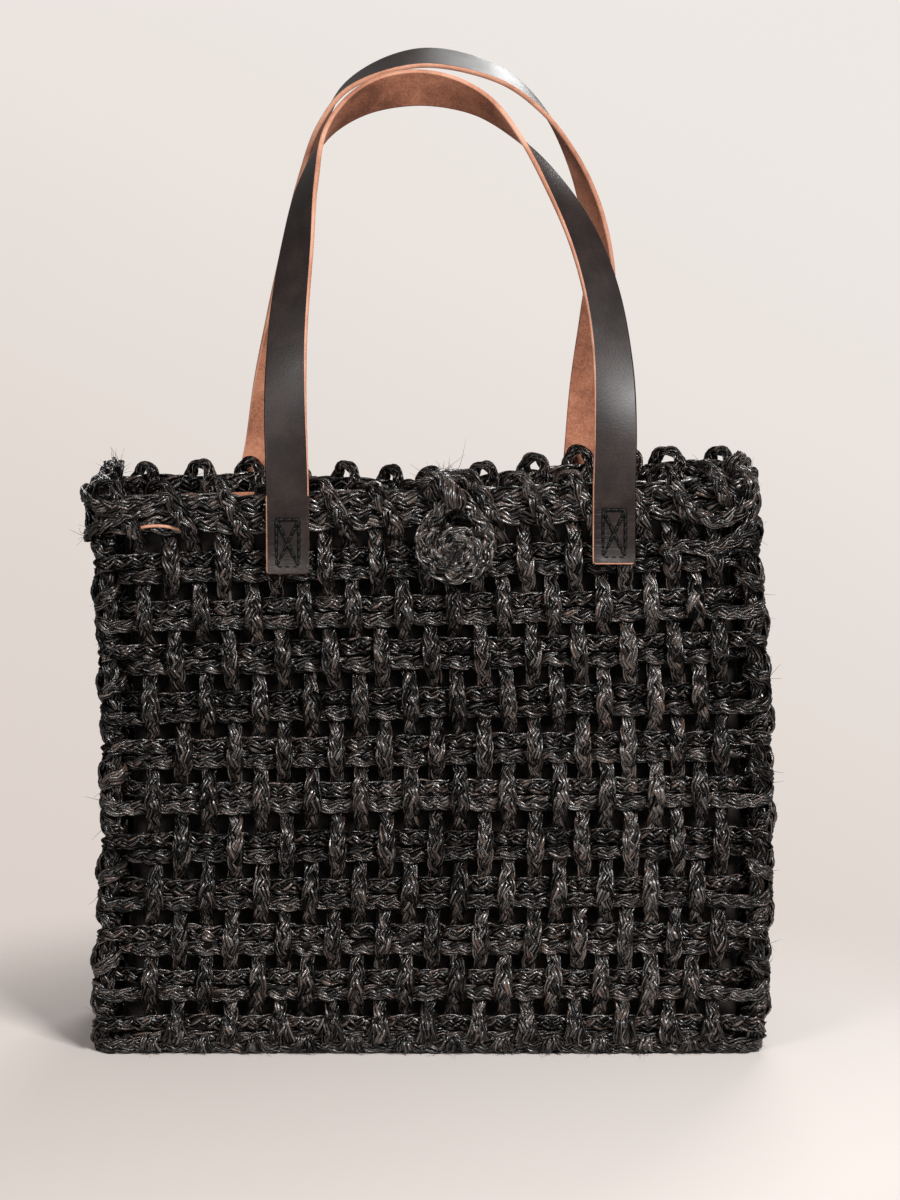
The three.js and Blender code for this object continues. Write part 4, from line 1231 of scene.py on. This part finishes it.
def waxed_thread(name):
    """Black sewing thread: two plies that turn round each other, shown by slanting lines."""
    material, tree = new_material(name)
    split = axes(tree, surface_uv(tree))
    along = maths(tree, "MULTIPLY", split["X"], 2 * math.pi / PLY_LENGTH)
    plies = maths(tree, "SINE", plus(tree, along, split["Y"], 4 * math.pi))
    colour = ramp(tree, remap(tree, plies, -1.0, 1.0), THREAD_STOPS)
    settings = {"Base Color": colour, "Roughness": 0.5, "Specular IOR Level": 0.2}
    finish_surface(tree, settings, plies, 0.6, 0.0001)
    return material


GRAIN = grain_leather("strap_grain")
FLESH = flesh_leather("leather_flesh", TAN_STOPS, FLESH_SCALE)
CUT_EDGE = flesh_leather("leather_cut_edge", EDGE_STOPS, EDGE_SCALE)
CLOTH = twill_cloth("lining_twill")
THREAD = waxed_thread("strap_thread")
# The materials of a strip, by the part numbers of its sides
LEATHER = [GRAIN, FLESH, CUT_EDGE]
print("leather and cloth ready")

# %% [markdown]
# The lining is a boxed cloth pouch hung inside the weave. It is one closed surface: from the
# middle of its floor outwards, up the outside, over the hem, down the inside and back to the
# middle. Its walls fall in soft folds, drawn inwards only, so the cloth stays clear of the cords,
# and it widens towards the floor as the bag does.

# %% The lining pouch
POUCH_SIDE_GAP = 10.6
POUCH_HALF_DEPTH = 42.4
POUCH_CORNER = 12.0
POUCH_FLOOR_Z = 8.6
POUCH_TOP_Z = 287.5
CLOTH_THICKNESS = 0.8
FOLD_DEPTH = 2.6
FOLD_WAVES = (71, 43, 29)
POUCH_AROUND = 220
WALL_ROWS = 46


def rounded_plan(half_x, half_y, radius, count):
    """Points of a rounded rectangle at even arc lengths, counter-clockwise seen from above."""
    angles = np.radians(np.linspace(0, 90, 12))
    arcs = []
    for quarter, (sx, sy) in enumerate([(1, -1), (1, 1), (-1, 1), (-1, -1)]):
        turned = angles + math.pi / 2 * (quarter - 1)
        centre = np.array([sx * (half_x - radius), sy * (half_y - radius)])
        arcs.append(centre + radius * np.stack([np.cos(turned), np.sin(turned)], 1))
    outline = np.concatenate(arcs)
    closed = np.concatenate([outline, outline[:1]])
    at = arc_lengths(closed)
    wanted = np.arange(count) * at[-1] / count
    return np.stack([np.interp(wanted, at, closed[:, i]) for i in (0, 1)], 1)


def cloth_folds(x, z, rng):
    """How far the cloth falls in: long upright waves that wander, and fade at hem and floor."""
    fold = 0
    for wave in FOLD_WAVES:
        phase = rng.uniform(0, ANY_TURN)
        lean = rng.uniform(-0.25, 0.25)
        sway = 0.8 * np.sin(z / 55 + phase)
        fold = fold + np.sin(2 * np.pi * (x + lean * z) / wave + phase + sway)
    level = smoothstep(z, 8, 60) * (1 - 0.8 * smoothstep(z, 235, 285))
    return FOLD_DEPTH * level * (0.5 + 0.5 * fold / len(FOLD_WAVES))


def pouch_profile():
    """Rows of (size share, height, inset): floor, outer wall, hem, inner wall and floor again."""
    t = CLOTH_THICKNESS
    floor_shares = (0.03, 0.35, 0.7, 0.93)
    rows = [(share, POUCH_FLOOR_Z, 0) for share in floor_shares]
    rows += [(0.985, POUCH_FLOOR_Z + 0.4, 0)]
    heights = np.linspace(POUCH_FLOOR_Z + 5, POUCH_TOP_Z - 0.5, WALL_ROWS)
    rows += [(1, z, 0) for z in heights]
    rows += [(1, POUCH_TOP_Z, 0.25 * t), (1, POUCH_TOP_Z, 0.75 * t)]
    rows += [(1, z, t) for z in heights[::-1]]
    rows += [(0.985, POUCH_FLOOR_Z + 0.4 + t, t)]
    rows += [(share, POUCH_FLOOR_Z + t, t) for share in floor_shares[::-1]]
    return rows


rng = np.random.default_rng(41)
pouch_half_width = half_width((POUCH_FLOOR_Z + POUCH_TOP_Z) / 2) - POUCH_SIDE_GAP
plan = rounded_plan(pouch_half_width, POUCH_HALF_DEPTH, POUCH_CORNER, POUCH_AROUND)
inward = -unit(plan / (pouch_half_width, POUCH_HALF_DEPTH) ** np.array(2))
share, z, inset = (column[:, None] for column in np.array(pouch_profile()).T)
drop = inset + cloth_folds(plan[None, :, 0] + plan[None, :, 1], z, rng) * (share > 0.99)
flat = plan[None] * share[..., None] + inward[None] * drop[..., None]
flat[..., 0] *= (half_width(z) - POUCH_SIDE_GAP) / pouch_half_width
rings = settle(np.concatenate([flat, np.broadcast_to(z, drop.shape)[..., None]], -1))
pouch_skin = skin(rings, arc_lengths(rings[:, 0]))
pouch = make_piece(
    "lining_pouch_cloth", [pouch_skin], [CLOTH], "bag", ["lining_pouch"]
)

# %% [markdown]
# A leather facing lies inside each long side of the rim and takes the strap stitches. It is a flat
# strip with a bare cut edge all round. A cut end of it curls in the gap beside the front's left
# corner, where its tan edge shows.

# %% Facings
FACING_HALF = 150.0
FACING_BOTTOM_Z = 252.0
FACING_TOP_Z = 290.0
FACING_THICKNESS = 1.6
FACING_DEPTH = -9.3
# The front one stands up behind its strap's first tab, by this much around this place
LIFT = 6.5
LIFT_AT = -84.0
LIFT_REACH = 34.0
# The curl at its left end, as (across, height) places of its middle line
CURL = (
    (-130, 277.5), (-137, 279.4), (-145, 279.8), (-151.5, 278.6), (-155.6, 275.6),
    (-156.0, 272.4), (-153.6, 270.8), (-151.0, 271.8),
)
CURL_HALF_WIDTH = 5.0
CURL_Y = -51.5
# How many points a strip's section has across each face
SECTION_POINTS = 9


def strip_section(h, t, edge):
    """A flat strip's outline, counter-clockwise, h and t half its width and thickness, with the
    parts of its sides: 0 the face that looks out, 1 the face that looks in, 2 the cut edges."""
    flat = np.linspace(-1, 1, SECTION_POINTS) * (h - 1.6 * edge)
    low, rise = h - edge, t - 0.8 * edge
    right = [(h, -rise), (h, rise), (low, t)]
    face = [(a, t) for a in flat[::-1]]
    left = [(-low, t), (-h, rise), (-h, -rise), (-low, -t)]
    under = [(a, -t) for a in flat]
    outline = np.array(right + face + left + under + [(low, -t)])
    across = SECTION_POINTS - 1
    part = [2, 0, 0] + [0] * across + [0, 2, 2, 2, 1] + [1] * across + [1, 1]
    return outline, np.array(part[: len(outline)])


def strip(points, facing, widths, half_across, thickness, edge=0.5, tone=0.5):
    """A flat strip along a path: at each point its section lies across the travel, with the
    section's second direction along the facing. Widths scale the section across."""
    travel = headings(points)
    out = square_to(facing, travel)
    across = np.cross(out, travel)
    outline, part = strip_section(half_across, thickness / 2, edge)
    a = outline[None, :, 0, None] * np.asarray(widths, float).reshape(-1, 1, 1)
    rings = points[:, None] + across[:, None] * a + out[:, None] * outline[None, :, 1, None]
    return skin(rings, arc_lengths(points), tone, part=np.tile(part, len(points) - 1), cap_part=2)


def facing_strip(face, rng):
    """A facing along one face, a little wavy; the front one lifts near the first tab."""
    u = np.linspace(-FACING_HALF, FACING_HALF, 90)
    w = FACING_DEPTH + wander(u + FACING_HALF, 2 * FACING_HALF, rng, 0.5, 90)
    lift = LIFT * smoothstep(np.abs(u - LIFT_AT), LIFT_REACH, 0) if face == "front" else 0
    points = settle(on_face(face, u, (FACING_TOP_Z + FACING_BOTTOM_Z) / 2 + lift, w))
    facing = np.cross(headings(points), (0, 0, 1))
    return strip(points, facing, 1, (FACING_TOP_Z - FACING_BOTTOM_Z) / 2, FACING_THICKNESS)


def curl_strip():
    """The curled end: a strip that lies across the line of sight, so its bare edge faces out."""
    x, z = np.array(CURL).T
    points = evenly(through(np.stack([x, CURL_Y + 0 * x, z], 1)), 0.8)[0]
    travel = headings(points)
    return strip(points, np.cross(travel, (0, 1, 0)), 1, CURL_HALF_WIDTH, FACING_THICKNESS)


rng = np.random.default_rng(43)
for face in LONG_FACES:
    skins = [facing_strip(face, rng)] + ([curl_strip()] if face == "front" else [])
    name = face + "_facing"
    make_piece(name + "_leather", skins, LEATHER, "bag", [name])
print("facings placed")

# %% [markdown]
# Each handle is one leather strap from tab to tab. It rises flat against the weave, twists over at
# the top so that its flesh side shows, and comes down flat again. The twist is a roll about the
# path that peaks near the top and falls off on both sides like a bell. At each tab a box of
# stitches with a cross in it presses the leather in.

# %% Straps
STRAP_HALF_WIDTH = 11.0
STRAP_THICKNESS = 2.6
STRAP_Y = 62.9
TAB_TOP_Z = 296.0
FOOT_Z_RISE = 4.3
TAB_CORNER = 1.6
TAB_FLARE = 1.5
TAB_FLARE_REACH = 18.0
STRAP_STEP = 2.6
STRAP_EDGE = 0.6
# How far from a tab's end the painted sheen reaches
PAINTED_SHEEN_REACH = 15.0
# Where the grain side's two chamfers come among the sides of a strip's section
FIRST_CHAMFER = 1
SECOND_CHAMFER = 12
# The routes below were measured a little wide and high for this camera
ROUTE_SCALE = (0.995, 0.993)
HANDLES = {
    "front": {
        "side": -1,
        "feet": (-75, 92.6),
        "tabs": (40, 35),
        "top_y": 18.3,
        "turn_over": 143,
        "turn_at": 0.48,
        "spread": (73, 88),
        "route": [
            (-75.6, 312), (-76.4, 348), (-75, 385), (-71, 422), (-65.5, 456), (-55, 483),
            (-34, 500), (-6, 505.3), (23, 497.6), (45, 479), (63, 455), (78, 427),
            (87.5, 397), (92.5, 363), (93.6, 330),
        ],
    },
    "back": {
        "side": 1,
        "feet": (-95.4, 81.5),
        "tabs": (38, 38),
        "top_y": 17.6,
        "turn_over": 115,
        "turn_at": 0.5,
        "spread": (125, 137),
        "route": [
            (-93.5, 312), (-88.5, 346), (-82, 383), (-75, 419), (-68, 456), (-59.5, 487),
            (-45, 507.5), (-7, 521.7), (35, 512.5), (57.3, 494.7), (73, 471), (84, 443),
            (89.8, 408), (88.2, 381), (84.8, 340),
        ],
    },
}


def strap_path(handle):
    """The middle line from tab end to tab end, and the direction that the grain side faces.

    Above the feet the facing is turned about the travel by a roll of
    turn_over / (1 + (distance from the turn / spread)^2), faded to nothing at the feet."""
    side = handle["side"]
    route = (np.array(handle["route"]) - (0, TAB_TOP_Z)) * ROUTE_SCALE + (0, TAB_TOP_Z)
    feet = [(foot, TAB_TOP_Z + FOOT_Z_RISE) for foot in handle["feet"]]
    x, z = np.array([feet[0], *route, feet[1]]).T
    y = side * (STRAP_Y + (handle["top_y"] - STRAP_Y) * smoothstep(z, TAB_TOP_Z + 4, z.max()))
    points, along, whole = evenly(through(np.stack([x, y, z], 1), per_span=24), STRAP_STEP)
    share = along / whole
    travel = headings(points)
    away = (share - handle["turn_at"]) * whole
    spread = np.where(away < 0, *handle["spread"])
    fade = smoothstep(np.minimum(share, 1 - share), 0, 0.16)
    roll = np.radians(side * fade * handle["turn_over"] / (1 + (away / spread) ** 2))[:, None]
    flat = np.array([0.0, side, 0.0])
    square = square_to(flat, travel)
    facing = square * np.cos(roll) + np.cross(travel, square) * np.sin(roll)
    tab_ends = []
    for foot, length in zip(handle["feet"], handle["tabs"]):
        low = TAB_TOP_Z - length
        top = TAB_TOP_Z + FOOT_Z_RISE - STRAP_STEP
        tab_z = np.append(low, np.linspace(low + STRAP_EDGE, top, 30))
        flare = np.clip(1 - (tab_z - low) / TAB_FLARE_REACH, 0, 1)
        tab_y = side * (STRAP_Y + TAB_FLARE * flare**2)
        tab_ends.append(np.stack([foot + 0 * tab_z, tab_y, tab_z], 1))
    line = np.concatenate([tab_ends[0], points, tab_ends[1][::-1]])
    tab_facing = np.tile(flat, (len(tab_ends[0]), 1))
    return line, np.concatenate([tab_facing, facing, tab_facing])


def tab_widths(line):
    """Width shares that round both tab corners: a quarter circle over the last few millimetres."""
    steps = arc_lengths(line)
    inside = np.clip(TAB_CORNER - np.minimum(steps, steps[-1] - steps), 0, TAB_CORNER)
    return (STRAP_HALF_WIDTH - TAB_CORNER + np.sqrt(TAB_CORNER**2 - inside**2)) / STRAP_HALF_WIDTH


def painted_sheen_at_ends(line):
    """The tone that places the painted sheen: 1 at the tab ends, where the leather is painted
    lightest, 0.5 further up.
    """
    steps = arc_lengths(line)
    return 0.5 + 0.5 * smoothstep(np.minimum(steps, steps[-1] - steps), PAINTED_SHEEN_REACH, 0)


straps = {}
for face, handle in HANDLES.items():
    line, facing = strap_path(handle)
    size = (STRAP_HALF_WIDTH, STRAP_THICKNESS, STRAP_EDGE)
    strap_skin = strip(line, facing, tab_widths(line), *size, painted_sheen_at_ends(line))
    # On the first tab the bare edge shows at the other side, and on the last one at its foot
    parts = strap_skin["part"].reshape(len(line) - 1, -1)
    on_tab = arc_lengths(line)[:-1] < handle["tabs"][0]
    parts[on_tab, FIRST_CHAMFER] = 2
    parts[on_tab, SECOND_CHAMFER] = 0
    parts[-1] = 2
    straps[face] = strap_skin
print("strap skins", len(straps))

# %% [markdown]
# A stitch is a short arch of thread: it comes up at one hole and dives at the next. The box is
# sewn as four runs and two diagonals, and the leather sinks where the thread pulls.

# %% Tab stitches
STITCH_RISE_ON_TAB = 15.8
STITCH_BOX = (11.6, 24.4)
STITCH_LENGTH = 4.4
STITCH_GAP = 0.2
# How far a stitch's middle stands out of its dent, and how far its ends sink in
STITCH_ARCH = 0.7
STITCH_SINK = 0.3
THREAD_RADIUS = 0.92
DENT_DEPTH = 0.7
DENT_BORDER = 2.2


def stitch_run(start, finish, middle, side, rng):
    """Stitches from one corner of the box to another, each start + t * span with a sine arch."""
    start, finish = np.array(start), np.array(finish)
    whole = np.linalg.norm(finish - start)
    count = round(whole / STITCH_LENGTH)
    onward = (finish - start) / whole
    pitch = whole / count
    t = np.linspace(0, 1, 7)
    made = []
    for number in range(count):
        reach = number * pitch + STITCH_GAP / 2 + (pitch - STITCH_GAP) * t
        flat = start + onward * reach[:, None]
        arch = STITCH_ARCH * np.sin(np.pi * t) ** 0.5 - STITCH_SINK
        y = side * (STRAP_Y + STRAP_THICKNESS / 2 - DENT_DEPTH + arch)
        line = np.stack([middle[0] + flat[:, 0], y, middle[1] + flat[:, 1]], 1)
        made.append(thread(line, THREAD_RADIUS * rng.uniform(0.9, 1.1) + 0 * t, 6))
    return made


rng = np.random.default_rng(47)
for face, handle in HANDLES.items():
    side = handle["side"]
    points = straps[face]["points"]
    across, high = STITCH_BOX[0] / 2, STITCH_BOX[1] / 2
    corners = [(-across, -high), (across, -high), (across, high), (-across, high)]
    runs = list(zip(corners, corners[1:] + corners[:1]))
    runs += [(corners[0], corners[2]), (corners[1], corners[3])]
    for end, foot, length in zip(("left", "right"), handle["feet"], handle["tabs"]):
        middle = (foot, TAB_TOP_Z - length + STITCH_RISE_ON_TAB)
        aside = smoothstep(np.abs(points[:, 0] - middle[0]) - across, DENT_BORDER, 0)
        beyond = smoothstep(np.abs(points[:, 2] - middle[1]) - high, DENT_BORDER, 0)
        outer = points[:, 1] * side > STRAP_Y + 0.5
        points[:, 1] -= side * DENT_DEPTH * aside * beyond * outer
        stitches = []
        for start, finish in runs:
            stitches += stitch_run(start, finish, middle, side, rng)
        make_piece(f"{face}_{end}_tab_stitches", stitches, [THREAD], "bag")
    nodes = [face + "_left_tab", face + "_right_tab", face + "_handle"]
    strap = make_piece(face + "_strap", [straps[face]], LEATHER, None, nodes)
    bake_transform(strap)
print("straps placed and sewn")

# %% [markdown]
# The closure is a coiled button of plait with a plaited loop round it. The loop's legs meet below
# the rim in a thick twist of cords, which bends over the rim and runs on as a twisted cord to a
# knot inside the back rim. The cord's root stays in the knot.

# %% Button, ring, bridge and knot
BUTTON_MIDDLE = (11.4, 269.6)
BUTTON_BACK_Y = -61.4
BUTTON_TURNS = 3.0
BUTTON_START = 2.2
BUTTON_RADII = (1.2, 11.4)
BUTTON_OVAL = (1.2, 1.03)
# Width, thickness and period of a plait, and how light its strands are
BUTTON_PLAIT = (6.6, 4.4, 19)
BUTTON_LIGHT = 0.66
RING_PLAIT = (7.6, 6.0, 27)
RING_LIGHT = 0.64
RING_MIDDLE = (11.2, 271.6)
RING_TOP = (12.6, 293.5)
RING_TOP_RADIUS = 2.6
RING_RADIUS = 17.2
RING_Y = -65.2
# How many points the ring's two arcs have
RING_LOW_POINTS = 26
RING_HIGH_POINTS = 8
BRIDGE_ROUTE = (
    (13, 25.3, 297.1), (12.0, 6, 299), (8.0, -20, 301.0), (4.8, -38, 302.4), (4.2, -47, 303.0),
)
# Radius, strands and pitch
BRIDGE_TWIST = (4.4, 4, 26)
CLOSURE_HAIRS = 26
# A twisted cord's strands and stems: how many stems, how wide a strand is as a share of the
# cord's radius, and how far apart its stems turn, as a share of a strand's own turn
TWIST_STEMS = 4
TWIST_STRAND = 0.54
TWIST_SPREAD = 0.24
TWIST_SIDES = 5


def button_route():
    """A flat spiral that widens evenly with each turn, its middle standing further out."""
    share = np.linspace(0, 1, 90)
    turn = BUTTON_START - 2 * np.pi * BUTTON_TURNS * share
    radius = BUTTON_RADII[0] + (BUTTON_RADII[1] - BUTTON_RADII[0]) * share
    x = BUTTON_MIDDLE[0] + BUTTON_OVAL[0] * radius * np.cos(turn)
    z = BUTTON_MIDDLE[1] + BUTTON_OVAL[1] * radius * np.sin(turn)
    y = BUTTON_BACK_Y - 2.2 - 2.6 * (1 - share**1.5)
    inwards = np.stack([np.cos(turn), -0.25 + 0 * turn, np.sin(turn)], 1)
    return route_of(np.stack([x, y, z], 1), inwards, 0.72 + 0.2 * share, per_span=3)


def ring_route():
    """A drop shape: a wide arc round the button and a small arc at the rim, joined by tangents."""
    rise = np.array(RING_TOP) - RING_MIDDLE
    heading = math.atan2(rise[1], rise[0])
    spread = math.acos((RING_RADIUS - RING_TOP_RADIUS) / np.linalg.norm(rise))
    low = np.linspace(heading + spread, heading - spread + 2 * np.pi, RING_LOW_POINTS)
    high = np.linspace(heading - spread, heading + spread, RING_HIGH_POINTS)
    arcs = (
        (RING_MIDDLE, RING_RADIUS, low),
        (RING_TOP, RING_TOP_RADIUS, high),
    )
    turn = np.concatenate([low, high])
    x = np.concatenate([centre[0] + radius * np.cos(angles) for centre, radius, angles in arcs])
    z = np.concatenate([centre[1] + radius * np.sin(angles) for centre, radius, angles in arcs])
    out = np.stack([np.cos(turn), 0 * turn, np.sin(turn)], 1)
    return route_of(np.stack([x, RING_Y + 0 * x, z], 1), out, 1, loop=True)


def twisted_cord(points, radius, strands, pitch, rng, step=1.8, end=0.5):
    """A rope of strands, each a helix round the path at the radius where they touch, and each
    strand a few stems that turn with it. Its ends thin to a share of its radius."""
    rows, along, whole = evenly(through(np.asarray(points, float)), step)
    travel = headings(rows)
    side = unit(np.cross(travel, (0.05, 0.02, 1.0)))
    up = np.cross(travel, side)
    own = radius * TWIST_STRAND
    tip = end + (1 - end) * np.sqrt(smoothstep(np.minimum(along, whole - along), -0.5, 5))
    around = 2 * np.pi * np.arange(TWIST_SIDES)[None, :, None] / TWIST_SIDES
    skins = []
    for k in range(TWIST_STEMS * strands):
        strand, stem = divmod(k, TWIST_STEMS)
        apart = TWIST_SPREAD * (stem - (TWIST_STEMS - 1) / 2)
        turn = 2 * np.pi * (along / pitch + (strand + apart) / strands)
        out_to = (radius - 0.5 * own) * (1 + wander(along, whole, rng, 0.14, 31)) * tip
        outward = side * np.cos(turn)[:, None] + up * np.sin(turn)[:, None]
        centre = rows + outward * out_to[:, None]
        heading = headings(centre)
        wide = square_to(side, heading)
        deep = np.cross(heading, wide)
        swell = own * tip * rng.uniform(0.38, 0.56) * (1 + wander(along, whole, rng, 0.16, 21))
        ring = wide[:, None] * np.cos(around) + deep[:, None] * np.sin(around)
        rings = centre[:, None] + ring * swell[:, None, None]
        skins.append(skin(rings, along + 900 * k, rng.uniform(0.2, 0.85)))
    return skins


rng = np.random.default_rng(53)
button = plait(button_route(), rng, *BUTTON_PLAIT, detail=COARSE_DETAIL, light=BUTTON_LIGHT)
frayed = np.array([BUTTON_MIDDLE[0] + 1.5, BUTTON_BACK_Y - 6.3, BUTTON_MIDDLE[1] - 1.0])
aim = unit(np.array([-0.45, -0.35, -1]))
button += brush(frayed, aim, (1, 0, -0.4), rng, 18, 9.5, 7, 0.34, 0.65)
grass_piece("coiled_button", button, ["closure_button"], rng, CLOSURE_HAIRS)
ring = plait(ring_route(), rng, *RING_PLAIT, True, COARSE_DETAIL, RING_LIGHT)
grass_piece("plaited_ring", ring, ["closure_ring"], rng, CLOSURE_HAIRS, "closure_ring")
bridge = twisted_cord(BRIDGE_ROUTE, *BRIDGE_TWIST, rng)
bridge_piece = grass_piece("twisted_bridge", bridge, ["closure_bridge"], rng, CLOSURE_HAIRS, None)
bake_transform(bridge_piece)

# %% [markdown]
# The thick twist is one piece of three twisted cords: it runs from the twisted cord at its back end
# to the loop at its front end, over the rim.

# %% The twist over the rim, and the knot
# Each cord of the twist: its radius, strands, pitch and end share, and its route
NECK_CORDS = (
    (5.6, 4, 21, 0.6, (
        (5.0, -38, 302.2), (3.6, -47, 303.4), (3.4, -54, 303.6), (5.2, -60.5, 302.0),
        (8.6, -65.5, 298.6), (11.6, -67.4, 294.4), (12.8, -67.2, 290.2),
    )),
    (2.5, 2, 15, 0.5, (
        (-2.5, -57, 297.5), (-4.5, -60, 302.5), (-1.0, -61.5, 306.3), (4.5, -62.5, 305.2),
        (8.5, -65, 301.2), (10.5, -66.8, 296.5),
    )),
    (2.3, 2, 14, 0.5, (
        (15.5, -55, 296.5), (16.0, -58, 302.0), (12.5, -60.0, 305.0), (8.0, -62.5, 303.6),
        (9.0, -66.2, 299.0), (12.0, -68.4, 294.5),
    )),
)
NECK_HAIRS = 150
NECK_HAIR_REACH = (3, 9)
KNOT_PLACE = (13.0, 30.6, 297.0)
KNOT_TURNS = 3.5
KNOT_LENGTH = 11
KNOT_COIL = 2.6
KNOT_TWIST = (2.0, 2, 9)
KNOT_HAIRS = 4

neck = []
for radius, strands, pitch, end, route in NECK_CORDS:
    neck += twisted_cord(route, radius, strands, pitch, rng, end=end)
neck += loose_ends(neck, rng, NECK_HAIRS, NECK_HAIR_REACH)
twist = make_piece("twisted_neck", neck, [GRASS], None)
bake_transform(twist)
turn = np.linspace(0, 2 * np.pi * KNOT_TURNS, 64)
coil = [(turn / turn[-1] - 0.5) * KNOT_LENGTH, KNOT_COIL * np.cos(turn), KNOT_COIL * np.sin(turn)]
knot = twisted_cord(KNOT_PLACE + np.stack(coil, 1), *KNOT_TWIST, rng, 1.2)
grass_piece("wrapped_knot", knot, ["closure_knot"], rng, KNOT_HAIRS)
print("closure placed")

# %% [markdown]
# The triangles are counted at the end, in all and in the largest piece.

# %% Count the triangles and finish
bpy.context.view_layer.update()
meshes = [piece.data for piece in bpy.context.scene.objects if piece.type == "MESH"]
triangles = [len(mesh.loops) - 2 * len(mesh.polygons) for mesh in meshes]
print("triangles in all", sum(triangles), "most in one piece", max(triangles))
